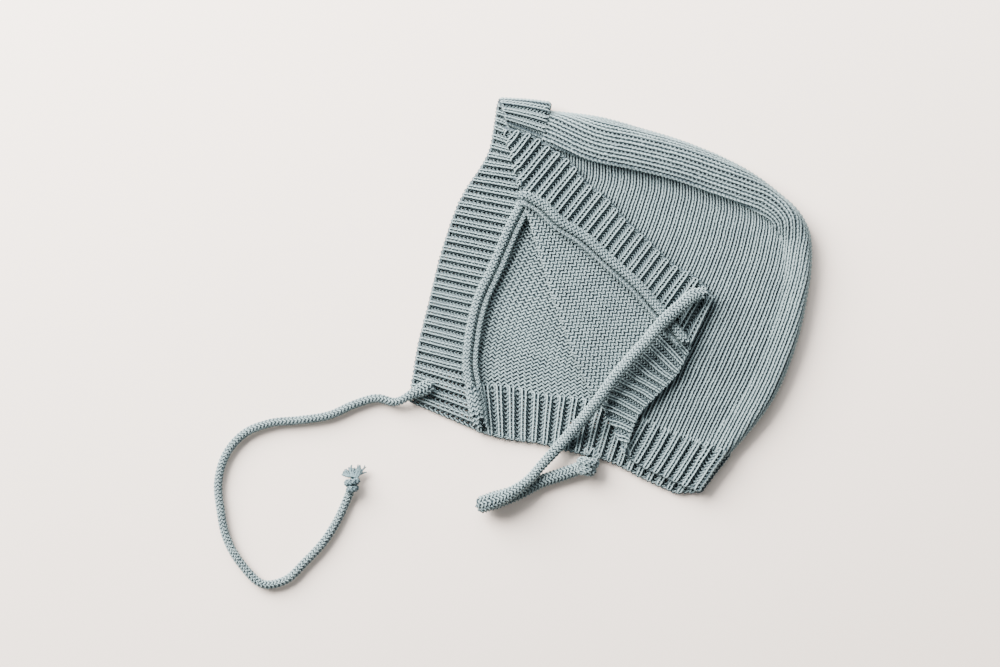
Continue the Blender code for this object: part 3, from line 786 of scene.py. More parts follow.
class Cloth:
    """A surface that knitting lies on, read in stitches across and courses up.

    Args:
        points: places, as samples up by samples across by 3.
        per_wale: samples in a stitch's width.
        per_course: samples in a course.
        outside: 1 where the cross product of across and up is the outside, else -1.
        first: number of the stitch at the start of each row of samples.
        start: stitches from there to where each course starts.
        reach: how many stitches each course has.
        closed: whether the last sample across is the first one again.
    """

    def __init__(
        self,
        points: np.ndarray,
        per_wale: float,
        per_course: float,
        outside: int = 1,
        first: np.ndarray | None = None,
        reach: np.ndarray | None = None,
        start: np.ndarray | None = None,
        closed: bool = False,
    ) -> None:
        self.points = points
        self.per_wale = per_wale
        self.per_course = per_course
        if closed:
            wide = np.concatenate([points[:, -2:-1], points, points[:, 1:2]], axis=1)
            across = np.gradient(wide, axis=1)[:, 1:-1]
        else:
            across = np.gradient(points, axis=1)
        up = np.gradient(points, axis=0)
        self.normals = unit(np.cross(across, up)) * outside
        wales = (points.shape[1] - 1) / per_wale
        self.first = np.zeros(len(points)) if first is None else first
        self.start = np.zeros(len(points)) if start is None else start
        self.reach = np.full(len(points), wales) if reach is None else reach
        self.closed = closed

    @property
    def courses(self) -> int:
        """How many courses fit."""
        return int((len(self.points) - 1) / self.per_course + 1e-6)

    def span(self, course: float) -> tuple[float, float]:
        """The stitches that a course starts and ends at, parts of a stitch among them."""
        row = int(np.clip(course * self.per_course, 0, len(self.points) - 1))
        first = float(self.first[row] + self.start[row])
        return first, first + float(self.reach[row])

    def place(
        self, across: np.ndarray, up: np.ndarray, out: np.ndarray
    ) -> tuple[np.ndarray, np.ndarray]:
        """Points over the surface and the way out there, blended from the four samples round each."""
        rows, columns = self.points.shape[:2]
        y = up * self.per_course
        x = (across - np.interp(y, np.arange(rows), self.first)) * self.per_wale
        if self.closed:
            x = np.mod(x, columns - 1)
        i = np.clip(np.floor(x).astype(int), 0, columns - 2)
        j = np.clip(np.floor(y).astype(int), 0, rows - 2)
        fx, fy = (x - i)[..., None], (y - j)[..., None]

        def read(grid: np.ndarray) -> np.ndarray:
            """The blend of a grid's four samples."""
            low = grid[j, i] * (1 - fx) + grid[j, i + 1] * fx
            high = grid[j + 1, i] * (1 - fx) + grid[j + 1, i + 1] * fx
            return low * (1 - fy) + high * fy

        normal = unit(read(self.normals))
        return read(self.points) + normal * out[..., None], normal


def evened(rows: np.ndarray, steps: np.ndarray | float) -> tuple[np.ndarray, np.ndarray]:
    """Rows of points read again at an even step.

    Args:
        rows: rows by points by coordinates.
        steps: the distance between the new points, or one for each row.

    Returns:
        The new rows, whose last points repeat past a row's end, and each row's length in steps.
    """
    lengths = np.linalg.norm(np.diff(rows, axis=1), axis=2)
    runs = np.concatenate([np.zeros((len(rows), 1)), np.cumsum(lengths, axis=1)], axis=1)
    steps = np.broadcast_to(steps, len(rows))
    where = np.arange(int((runs[:, -1] / steps).max()) + 2)
    made = [
        np.stack([np.interp(where * step, run, row[:, k]) for k in range(rows.shape[2])], axis=-1)
        for run, row, step in zip(runs, rows, steps)
    ]
    return np.stack(made), runs[:, -1] / steps


class YarnMesh:
    """Lengths of yarn, gathered and made into one mesh of rings of a few sides."""

    def __init__(self, sides: int = 4) -> None:
        self.sides = sides
        self.vertices: list[np.ndarray] = []
        self.quads: list[np.ndarray] = []
        self.marks: list[np.ndarray] = []
        self.caps: list[np.ndarray] = []
        self.depths: list[np.ndarray] = []
        self.count = 0

    def add(
        self,
        line: np.ndarray,
        up: np.ndarray,
        radius: float | np.ndarray,
        sunk: float | np.ndarray = 0.25,
    ) -> None:
        """Adds a length of yarn: a ring of points round each point of its line, joined to the next.

        Args:
            line: its middle line.
            up: the way out of the cloth at each point, which the rings are turned by.
            radius: of the yarn, or one for each point.
            sunk: how deep the yarn lies in the cloth, from 0 to 1, or one for each point, which the
                material paints shade by.
        """
        sides = self.sides
        way = unit(np.gradient(line, axis=0))
        side = unit(np.cross(way, up))
        over = np.cross(side, way)
        angle = 2 * np.pi * np.arange(sides) / sides
        radius = np.broadcast_to(radius, len(line))[:, None, None]
        rings = line[:, None] + radius * (
            np.sin(angle)[None, :, None] * side[:, None] + np.cos(angle)[None, :, None] * over[:, None]
        )
        run = 1000 * distances(line)
        index = self.count + np.arange(len(line) * sides).reshape(len(line), sides)
        ahead = np.roll(index, -1, axis=1)
        turn = np.broadcast_to(np.arange(sides) / sides, (len(line) - 1, sides))
        near = np.broadcast_to(run[:-1, None], turn.shape)
        far = np.broadcast_to(run[1:, None], turn.shape)
        corners = ((near, turn), (far, turn), (far, turn + 1 / sides), (near, turn + 1 / sides))
        marks = np.stack([np.stack(corner, -1) for corner in corners], axis=2)
        quads = np.stack([index[:-1], index[1:], ahead[1:], ahead[:-1]], axis=-1)
        self.vertices.append(rings.reshape(-1, 3))
        self.quads.append(quads.reshape(-1, 4))
        self.marks.append(marks.reshape(-1, 2))
        self.caps.append(np.stack([index[0], index[-1, ::-1]]))
        self.depths.append(np.repeat(np.broadcast_to(sunk, len(line)), sides))
        self.count += len(line) * sides

    def cells(self, count: int) -> np.ndarray:
        """Corners of a cell for each face, in a square of even rows.

        Args:
            count: how many faces there are.

        Returns:
            Corners in the order of a face's own. A ring's faces lie over one another and the next
            ring's beside them, so neighbours on the yarn are neighbours here too.
        """
        wide = int(math.ceil(math.sqrt(count)))
        face = np.arange(count)
        ring, side = face // self.sides, face % self.sides
        x, y = ring % wide, ring // wide * self.sides + side
        square = ((0, 0), (1, 0), (1, 1), (0, 1))
        corners = np.stack([np.stack([x + a, y + b], -1) for a, b in square], 1)
        return corners.reshape(-1, 2) / (wide + self.sides)

    def make(self, name: str, finish: bpy.types.Material) -> bpy.types.Object:
        """The mesh, smooth, with the place along and round the yarn as one UV map, a map in which no two
        faces lie on each other as another, and the depth in the cloth as an attribute, the mask of the
        material's painted shade."""
        vertices = np.concatenate(self.vertices) - MIDDLE
        quads = np.concatenate(self.quads + self.caps)
        marks = np.zeros((quads.size, 2))
        body = np.concatenate(self.marks)
        marks[: len(body)] = body
        mesh = bpy.data.meshes.new(name)
        mesh.vertices.add(len(vertices))
        mesh.vertices.foreach_set("co", vertices.astype(np.float32).ravel())
        mesh.loops.add(quads.size)
        mesh.loops.foreach_set("vertex_index", quads.astype(np.int32).ravel())
        mesh.polygons.add(len(quads))
        mesh.polygons.foreach_set("loop_start", np.arange(0, quads.size, 4, dtype=np.int32))
        mesh.polygons.foreach_set("use_smooth", np.ones(len(quads), bool))
        mesh.update(calc_edges=True)
        for layer, values in (("Yarn", marks), ("OFBake", self.cells(len(quads)))):
            made = mesh.uv_layers.new(name=layer)
            made.uv.foreach_set("vector", values.astype(np.float32).ravel())
        # Sunk is the mask that the material paints shade by.
        sunk = mesh.attributes.new("Sunk", "FLOAT", "POINT")
        sunk.data.foreach_set("value", np.concatenate(self.depths).astype(np.float32))
        piece = bpy.data.objects.new(name, mesh)
        bpy.context.scene.collection.objects.link(piece)
        mesh.materials.append(finish)
        return piece


def finished(
    yarn: YarnMesh, node: str, finish: bpy.types.Material, stitches: int
) -> bpy.types.Object:
    """Makes the piece that takes a CAD node's place, hangs it on the root body, hides the node and
    reports it.

    Args:
        yarn: the piece's yarn.
        node: the CAD node.
        finish: the yarn's material.
        stitches: how many stitches the piece has.

    Returns:
        The piece.
    """
    piece = yarn.make(node + "_knitted", finish)
    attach(piece, "root")
    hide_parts(node)
    log.info("%s: %d stitches, %d faces", piece.name, stitches, len(piece.data.polygons))
    return piece


def knit(yarn: YarnMesh, cloth: Cloth, gauge: Gauge, seed: int) -> int:
    """Knits a cloth, a length of yarn for each course.

    Args:
        yarn: the mesh that it is added to.
        cloth: the surface.
        gauge: the kind of knitting.
        seed: of the small unevenness of its stitches.

    Returns:
        The number of stitches.
    """
    chance = np.random.default_rng(seed)
    stitches = 0.0
    for course in range(cloth.courses):
        first, last = cloth.span(course + 0.5)
        if last - first < 1.0:
            continue
        across, up, out, sunk = gauge.loops(first, last, chance)
        line, normal = cloth.place(across, course + up, out)
        yarn.add(line, normal, gauge.yarn / 2, sunk)
        stitches += last - first
    return int(stitches)


@dataclass(frozen=True)
class Track:
    """A path read at even steps, with the ways along, beside and above it.

    Args:
        path: points of its middle line.
        up: the way up at each.
        step: about how far apart the points are read.
    """

    path: np.ndarray
    up: np.ndarray
    step: float

    def frames(self) -> tuple[np.ndarray, np.ndarray, np.ndarray, np.ndarray]:
        """Points, the ways beside and above them, and the distances along the path."""
        run = distances(self.path)
        even = np.linspace(0.0, run[-1], max(int(round(run[-1] / self.step)), 4) + 1)
        line = np.stack([np.interp(even, run, self.path[:, k]) for k in range(3)], axis=-1)
        up = np.stack([np.interp(even, run, self.up[:, k]) for k in range(3)], axis=-1)
        way = unit(np.gradient(line, axis=0))
        side = unit(np.cross(way, up))
        return line, side, np.cross(side, way), even


@dataclass(frozen=True)
class Tube:
    """A knitted cord: stitches in a helix round a path.

    Args:
        wide: its width.
        high: its height.
        wales: stitches round it.
        course: height of a stitch.
        yarn: diameter of the yarn.
        depth: how far the legs stand out.
        fine: samples in a stitch's height.
        swell: rows of share of the length, width and height there in shares of its own.
    """

    wide: float = TIE_DIAMETER
    high: float = TIE_DIAMETER
    wales: int = 6
    course: float = 0.0018
    yarn: float = 0.00125
    depth: float = 0.00042
    fine: int = 4
    swell: tuple = ((0.0, 1.0, 1.0), (1.0, 1.0, 1.0))

    def cloth(self, path: np.ndarray, up: np.ndarray, beside: float = 0.0) -> Cloth:
        """The surface inside the legs of its stitches: an ellipse carried along the path."""
        line, side, over, run = Track(path, up, self.course / self.fine).frames()
        line = line + side * beside
        rows = np.array(self.swell)
        grow = [np.interp(run / run[-1], rows[:, 0], rows[:, k])[:, None, None] for k in (1, 2)]
        angle = np.linspace(0.0, 2 * np.pi, self.wales * self.fine * 2 + 1)[None, :, None]
        inset = self.depth + self.yarn / 2
        surface = (
            line[:, None]
            + np.sin(angle) * (self.wide / 2 * grow[0] - inset) * side[:, None]
            + np.cos(angle) * (self.high / 2 * grow[1] - inset) * over[:, None]
        )
        return Cloth(surface, self.fine * 2, self.fine, -1, closed=True)

    def knit(
        self, yarn: YarnMesh, path: np.ndarray, up: np.ndarray, seed: int, beside: float = 0.0
    ) -> int:
        """Adds the stitches, one length of yarn that climbs a course each time round.

        Args:
            yarn: the mesh that they are added to.
            path: the middle line.
            up: the way up at each of its points.
            seed: of their small unevenness.
            beside: how far the cord lies beside the path.

        Returns:
            The number of stitches.
        """
        cloth = self.cloth(path, up, beside)
        count = (cloth.courses - 1) * self.wales
        gauge = Gauge(slant=0.20, spread=0.02, overlap=0.86, depth=self.depth)
        across, rise, out, sunk = gauge.loops(0, count, np.random.default_rng(seed))
        line, normal = cloth.place(across, across / self.wales + rise, out)
        yarn.add(line, normal, self.yarn / 2, sunk)
        return count


@dataclass(frozen=True)
class Rope:
    """Strands that are laid round one another along a path.

    Args:
        strands: how many.
        off: distance of their middles from the path.
        pitch: length over which they go round once.
        yarn: diameter of a strand.
    """

    strands: int = 2
    off: float = 0.00042
    pitch: float = 0.0042
    yarn: float = 0.00105

    def lay(self, yarn: YarnMesh, path: np.ndarray, up: np.ndarray) -> None:
        """Adds the strands, each a helix round the path."""
        line, side, over, run = Track(path, up, self.pitch / 8).frames()
        for strand in range(self.strands):
            angle = 2 * np.pi * (run / self.pitch + strand / self.strands)[:, None]
            lay = line + self.off * (np.cos(angle) * side + np.sin(angle) * over)
            yarn.add(lay, over, self.yarn / 2)


@dataclass
class Sides:
    """The plain knitted crown strip and the two sides.

    Args:
        gauge: of the plain knitting.
        crown_yarn: diameter of the yarn on the crown, where it is worked more loosely.
        crown_wale: width of a stitch on the roll along the crown.
        crown_course: height of a stitch there.
        flap: width and height of a stitch on the part that is turned back.
        flap_ways: directions of its rows of stitches and of its columns, in degrees.
        right_course: height of a stitch on the right side.
        right_lean: how far the right side's columns of stitches lean back, in degrees.
        overlap: how far the left side and the crown reach past the line where they meet, in stitches.
        flap_middle: the point that the flap's rows are laid out from, down and across the fold.
        flap_reach: how far from the fold, on the flat side of it, the flap's rows end.
        flat_reach: how far from the fold the flat part's rows end.
        finish: of the yarn of the two sides.
        crown_finish: of the crown's yarn, with less painted shade where it dips.
        fine: samples in a stitch's width and in a course.
    """

    gauge: Gauge = field(default_factory=Gauge)
    crown_yarn: float = 0.0016
    crown_wale: float = 0.0038
    crown_course: float = 0.0020
    flap: tuple[float, float] = (0.0028, 0.0021)
    flap_ways: tuple[float, float] = (37.0, 135.0)
    right_course: float = 0.00195
    right_lean: float = 5.0
    overlap: float = 0.3
    flap_middle: tuple[float, float] = (0.075, -0.025)
    flap_reach: float = 0.003
    flat_reach: float = 0.004
    finish: CottonWithPaintedShade = field(default_factory=lambda: CottonWithPaintedShade("plain_cotton"))
    crown_finish: CottonWithPaintedShade = field(
        default_factory=lambda: CottonWithPaintedShade("crown_cotton", shade=0.38)
    )
    fine: int = 4

    def crown_lines(self) -> tuple[np.ndarray, np.ndarray, np.ndarray]:
        """Rows of the crown's table along the crease and along the back, and the back's shares."""
        line = SmoothLine(CROWN_WRAP, 2)
        turn = line.share_of(CREASE_ROWS - 1)
        shares = np.linspace(1.0, turn, 80)
        return line.at(np.linspace(0.0, turn, 60)), line.at(shares), shares

    def left_courses(self) -> tuple[int, np.ndarray, np.ndarray]:
        """How many courses run up the back of the left side, and where they meet the crown strip.

        Returns:
            The number of courses, the run along the back at samples of it, and the crown table's
            shares there.
        """
        _, spine_rows, shares = self.crown_lines()
        spine = turned_back(laid_out(np.c_[tucked(spine_rows), np.zeros(len(spine_rows))]))
        run = distances(spine)
        return int(round(run[-1] / self.gauge.course)), run / run[-1], shares

    def drift(self, count: int) -> np.ndarray:
        """Number of the stitch that each row of samples up the back starts at, so that the columns
        of stitches lean by WALE_LEAN: the sum of the lean's tangent over the rows below."""
        up = np.linspace(0.0, 1.0, count * self.fine + 1)
        lean = np.radians(np.interp(up, WALE_LEAN[:, 0], WALE_LEAN[:, 1]))
        return np.cumsum(np.tan(lean)) * self.gauge.course / self.fine / self.gauge.wale

    def left_lines(self) -> tuple[np.ndarray, ...]:
        """The left side's edges laid out flat: along the seam, the back, the neck and the crease."""
        seam_line = laid_out(UPPER_BRIM_SEAM)
        corner = SmoothLine(seam_line).share_of(UPPER_SEAM_CORNER)
        seam = SmoothLine(seam_line).at(np.linspace(corner, 0.0, 40))
        crease_rows, spine_rows, _ = self.crown_lines()
        crease = laid_out(np.c_[tucked(crease_rows), np.zeros(len(crease_rows))])
        spine = laid_out(np.c_[tucked(spine_rows), np.zeros(len(spine_rows))])
        crease[0] = seam_line[0]
        return seam, spine, laid_out(UPPER_NECK_TOP)[::-1], crease

    def left_cloth(self) -> Cloth:
        """The left side as far as under the flap: rows across its patch, read at an even step from
        the back."""
        count, _, _ = self.left_courses()
        up = np.linspace(0.0, 1.0, count * self.fine + 1)
        flat = patch(self.left_lines(), np.linspace(1.0, 0.0, 300), up)
        wide = np.interp(up, WALE_LEAN[:, 0], WALE_LEAN[:, 2])
        rows, reach = evened(flat.transpose(1, 0, 2), self.gauge.wale / self.fine * wide)
        reach = np.minimum(reach, (rows[..., 1] > self.flat_reach).sum(axis=1)) / self.fine + self.overlap
        start = np.full(len(rows), -self.overlap)
        return Cloth(turned_back(rows), self.fine, self.fine, -1, self.drift(count), reach, start)

    def flap_cloth(self) -> Cloth:
        """The part of the left side that is turned back: even straight rows over the flat cloth from
        just under the fold, each as long as its points lie in the side's outline."""
        _, way, back = fold_frame()
        wide, high = (step / self.fine for step in self.flap)
        row, column = (
            np.array([np.cos(np.radians(turn)), np.sin(np.radians(turn))]) for turn in self.flap_ways
        )
        row = np.array([row @ way, -(row @ back)]) * wide
        column = np.array([column @ way, -(column @ back)]) * high
        steps = np.arange(-60 * self.fine, 60 * self.fine)
        flat = np.array(self.flap_middle) + steps[None, :, None] * row + steps[:, None, None] * column
        seam, _, neck, _ = self.left_lines()
        line = np.concatenate([seam[::-1], SmoothLine(neck).at(np.linspace(0.0, 1.0, 40))])
        line = line[line[:, 1] < self.flap_reach]
        ends = [[line[-1][0], self.flap_reach], [line[0][0], self.flap_reach]]
        line = np.concatenate([line, ends])
        inside = within(flat, line)
        held = inside.any(axis=1)
        flat, inside = flat[held], inside[held]
        start = inside.argmax(axis=1)
        reach = inside.shape[1] - inside[:, ::-1].argmax(axis=1) - start
        start, reach = start / self.fine, reach / self.fine
        return Cloth(turned_back(flat), self.fine, self.fine, -1, reach=reach, start=start)

    def crown_cloth(self) -> Cloth:
        """The crown strip: from the neck up the back and over the crown, rows across it from its top
        edge down to the floor. Its courses meet those of the left side along the back."""
        count, run, back_shares = self.left_courses()
        up = np.linspace(0.0, 1.0, count * self.fine + 1)
        back = np.interp(up, run, back_shares)
        turn = back[-1]
        crown = SmoothLine(CROWN_WRAP[:, :4], 2)
        fine = np.linspace(turn, 0.0, 200)
        rows = crown.at(fine)
        middle = (rows[:, 0:2] * 0.5 + rows[:, 2:4] * 0.5) * FACE_DEPTH
        length = distances(middle)
        more = int(round(length[-1] / self.crown_course))
        even = np.linspace(0.0, length[-1], more * self.fine + 1)[1:]
        shares = np.concatenate([back, np.interp(even, length, fine)])
        cloth = wrapped(CROWN_WRAP, shares, 120)[::-1].transpose(1, 0, 2)
        past = np.clip((np.arange(len(shares)) - len(back)) / (8 * self.fine), 0.0, 1.0)
        wale = self.gauge.wale + (self.crown_wale - self.gauge.wale) * past
        rows, reach = evened(cloth, wale / self.fine)
        first = -self.drift(count)
        first = np.concatenate([first, np.full(len(even), first[-1])])
        start = np.full(len(rows), -self.overlap)
        return Cloth(rows, self.fine, self.fine, 1, first, reach / self.fine + self.overlap, start)

    def right_cloth(self) -> Cloth:
        """The right side, inside up: rows across its patch, read at an even step from the brim."""
        lower = LOWER_BRIM_SEAM * FACE_DEPTH
        corner = SmoothLine(lower).share_of(LOWER_SEAM_CORNER)
        seam = SmoothLine(lower).at(np.linspace(corner, 1.0, 40))
        crease_rows, spine_rows, _ = self.crown_lines()
        crease, spine = crease_rows[:, 4:6] * FACE_DEPTH, spine_rows[:, 4:6] * FACE_DEPTH
        crease[0] = seam[-1]
        count = int(round(distances(seam)[-1] / self.right_course))
        sides = (seam, spine, LOWER_NECK_TOP * FACE_DEPTH, crease)
        up = np.linspace(0.0, 1.0, count * self.fine + 1)
        plan = patch(sides, np.linspace(0.0, 1.0, 200), up).transpose(1, 0, 2)
        rows, reach = evened(plan, self.gauge.wale / self.fine)
        slope = math.tan(math.radians(self.right_lean)) * self.right_course / self.gauge.wale
        first = -slope / self.fine * np.arange(len(up))
        return Cloth(on_floor(rows, WALL / 2), self.fine, self.fine, -1, first, reach / self.fine)

    def build(self) -> list[bpy.types.Object]:
        """Knits the three pieces."""
        plain, crown = self.finish.material(), self.crown_finish.material()
        pieces = []
        thick = replace(self.gauge, yarn=self.crown_yarn)
        for name, clothes, gauge, material, seed in (
            ("left_side_panel", (self.left_cloth(), self.flap_cloth()), self.gauge, plain, 11),
            ("crown_strip", (self.crown_cloth(),), thick, crown, 12),
            ("right_side_panel", (self.right_cloth(),), self.gauge, plain, 13),
        ):
            yarn = YarnMesh()
            stitches = sum(knit(yarn, cloth, gauge, seed) for cloth in clothes)
            pieces.append(finished(yarn, name, material, stitches))
        return pieces


@dataclass
class Bands:
    """The ribbed bands round the face and the neck, each with its cast-off edge.

    Args:
        brim: the kind of knitting of the band round the face.
        neck: that of the band round the neck.
        brim_courses: how many courses the brim has.
        neck_depth: how far the neck band reaches from the plain knitting.
        leads: how far ahead along the seam the ribs of the brim's lower and upper part are.
        edge: the cast-off stitches along a band's edge.
        finish: of the yarn.
        fine: samples in a stitch's width and in a course.
    """

    brim: Gauge = Gauge(
        wale=0.0026, course=0.00165, yarn=0.00134, slant=0.12, spread=0.09, depth=0.0004, rib=0.00085
    )
    neck: Gauge = Gauge(
        wale=0.0028, course=0.00170, yarn=0.00146, slant=0.13, spread=0.07, depth=0.0004, rib=0.00085
    )
    brim_courses: int = 13
    neck_depth: float = 0.0195
    leads: tuple[float, float] = (0.05, -0.035)
    edge: Rope = Rope()
    finish: CottonWithPaintedShade = field(default_factory=lambda: CottonWithPaintedShade("ribbed_cotton"))
    fine: int = 4

    def shares(self, ribs: int) -> np.ndarray:
        """Even shares of a stretch of band, with samples for two stitches a rib."""
        return np.linspace(0.0, 1.0, ribs * 2 * self.fine + 1)

    def brim_cloth(self) -> Cloth:
        """The band round the face, from the lower front corner over the crown to the flap's end."""
        rows = np.linspace(1.0, 0.0, self.brim_courses * self.fine + 1)
        middle = RIB_WALL / 2 + RIB_WAVE + RIB_GAP
        edge, seam = LOWER_BRIM_EDGE * FACE_DEPTH, LOWER_BRIM_SEAM * FACE_DEPTH
        lower = on_floor(strip(edge, seam, self.shares(LOWER_BRIM_RIBS), rows, self.leads[0]), middle)
        crown = wrapped(BRIM_WRAP, rows, CROWN_BRIM_RIBS * 2 * self.fine + 1)
        crown[..., 2] += middle - WALL / 2
        edge, seam = laid_out(UPPER_BRIM_EDGE), laid_out(UPPER_BRIM_SEAM)
        upper = strip(edge, seam, self.shares(UPPER_BRIM_RIBS), rows, self.leads[1])
        upper = turned_back(eased(upper, 0, 1))
        band = np.concatenate([lower, crown[1:], upper[1:]]).transpose(1, 0, 2)
        return Cloth(band, self.fine, self.fine, -1)

    def neck_cloth(self) -> Cloth:
        """The band round the neck, from the lower front corner round the back to the flap's end. It
        starts a course before its table, on the plain knitting, mirrored there round the back."""
        courses = int(round(self.neck_depth / self.neck.course))
        rows = np.linspace(-1 / courses, 1.0, (courses + 1) * self.fine + 1)
        middle = RIB_WALL / 2 + RIB_WAVE + RIB_GAP
        top, edge = LOWER_NECK_TOP * FACE_DEPTH, LOWER_NECK_EDGE * FACE_DEPTH
        lower = on_floor(strip(top, edge, self.shares(LOWER_NECK_RIBS), rows), middle)
        back = wrapped(NECK_WRAP, np.abs(rows), BACK_NECK_RIBS * 2 * self.fine + 1)
        back[:, : self.fine] = 2 * back[:, self.fine : self.fine + 1] - back[:, : self.fine]
        back[..., 2] += middle - WALL / 2
        top, edge = laid_out(UPPER_NECK_TOP), laid_out(UPPER_NECK_EDGE)
        upper = turned_back(eased(strip(top, edge, self.shares(UPPER_NECK_RIBS), rows), 0, 1))
        band = np.concatenate([lower, back[1:], upper[1:]]).transpose(1, 0, 2)
        return Cloth(band, self.fine, self.fine, -1)

    def build(self) -> list[bpy.types.Object]:
        """Knits the two bands."""
        material = self.finish.material()
        pieces = []
        for name, cloth, gauge, seed in (
            ("brim_band", self.brim_cloth(), self.brim, 21),
            ("neck_band", self.neck_cloth(), self.neck, 22),
        ):
            yarn = YarnMesh()
            stitches = knit(yarn, cloth, gauge, seed)
            self.edge.lay(yarn, cloth.points[-1], cloth.normals[-1])
            pieces.append(finished(yarn, name, material, stitches))
        return pieces


@dataclass
class Seams:
    """The thick inner seams between the brim and the sides: a wide chain of stitches and a thin one.

    Args:
        ridge: the wide chain.
        chain: the thin one, on the side away from the brim.
        beside: how far the middles of the two lie from the seam's own.
        thread: the thin one of the left seam.
        lump: the thicker lower end of the right one.
        lump_rows: where that starts and ends, in samples along the seam.
        lump_off: how far it lies over the seam's middle, and beside it.
        right_span: shares of the right seam's line where the chains start and end.
        left_span: the same of the left one's.
        left_gap: between the left ridge and the band's wave.
        sink: how far the thin chain lies below the wide one's middle.
        finish: of the yarn.
    """

    ridge: Tube = Tube(wide=SEAM_WIDTH, high=0.0038, wales=5, course=0.0019, yarn=0.00135)
    chain: Tube = Tube(wide=0.0034, high=0.0026, wales=4, course=0.0019, yarn=0.0010, depth=0.00030)
    thread: Tube = Tube(wide=0.0024, high=0.0024, wales=3, course=0.0019, yarn=0.0010, depth=0.00020)
    beside: tuple[float, float] = (0.0006, 0.0046)
    lump: Tube = Tube(wide=0.0078, high=0.0056, wales=7, course=0.0021, yarn=0.0015)
    lump_rows: tuple[int, int] = (7, 34)
    lump_off: tuple[float, float] = (0.0004, 0.0010)
    right_span: tuple[float, float] = (0.012, 0.86)
    left_span: tuple[float, float] = (0.20, 0.985)
    left_gap: float = 0.0009
    sink: float = 0.0004
    finish: CottonWithPaintedShade = field(default_factory=lambda: CottonWithPaintedShade("seam_cotton"))

    def right_line(self) -> tuple[np.ndarray, np.ndarray]:
        """The lower seam's path and the way up over it."""
        plan = SmoothLine(LOWER_BRIM_SEAM * FACE_DEPTH).at(np.linspace(*self.right_span, 200))
        path = on_floor(plan, RIB_WALL + 2 * RIB_WAVE + RIB_GAP + self.ridge.high / 2)
        return path, np.tile((0.0, 0.0, 1.0), (len(path), 1))

    def left_line(self) -> tuple[np.ndarray, np.ndarray]:
        """The upper seam's path, on the inside of the cloth, and the way to the inside: the reverse
        of the cross product of the cloth's two ways."""
        flat = SmoothLine(laid_out(UPPER_BRIM_SEAM)).at(np.linspace(*self.left_span, 200))
        down, across = np.array([1e-4, 0.0]), np.array([0.0, 1e-4])
        inside = unit(
            np.cross(
                turned_back(flat + across) - turned_back(flat - across),
                turned_back(flat + down) - turned_back(flat - down),
            )
        )
        lift = RIB_WALL / 2 + RIB_WAVE + self.left_gap + self.ridge.high / 2
        return turned_back(flat) + inside * lift, inside

    def build(self) -> list[bpy.types.Object]:
        """Knits the two seams."""
        material = self.finish.material()
        pieces = []
        for name, (path, up), chain, seed in (
            ("right_brim_seam", self.right_line(), self.chain, 41),
            ("left_brim_seam", self.left_line(), self.thread, 42),
        ):
            yarn = YarnMesh()
            stitches = self.ridge.knit(yarn, path, up, seed, self.beside[0])
            stitches += chain.knit(yarn, path - up * self.sink, up, seed + 10, self.beside[1])
            if chain is self.chain:
                over, beside = self.lump_off
                part = slice(*self.lump_rows)
                middle = path[part] + up[part] * over
                stitches += self.lump.knit(yarn, middle, up[part], seed + 20, beside)
            pieces.append(finished(yarn, name, material, stitches))
        return pieces


def tie_path(table: np.ndarray, diameter: float, middle: np.ndarray) -> np.ndarray:
    """A tie's middle line: a fine smooth curve through its table, and on to the knot's middle."""
    points = table * (FACE_DEPTH, FACE_DEPTH, diameter)
    line = SmoothLine(points).at(np.linspace(0.0, 1.0, 600))
    share = np.linspace(0.1, 1.0, 8)[:, None]
    return np.concatenate([line, line[-1] + share * (middle - line[-1])])


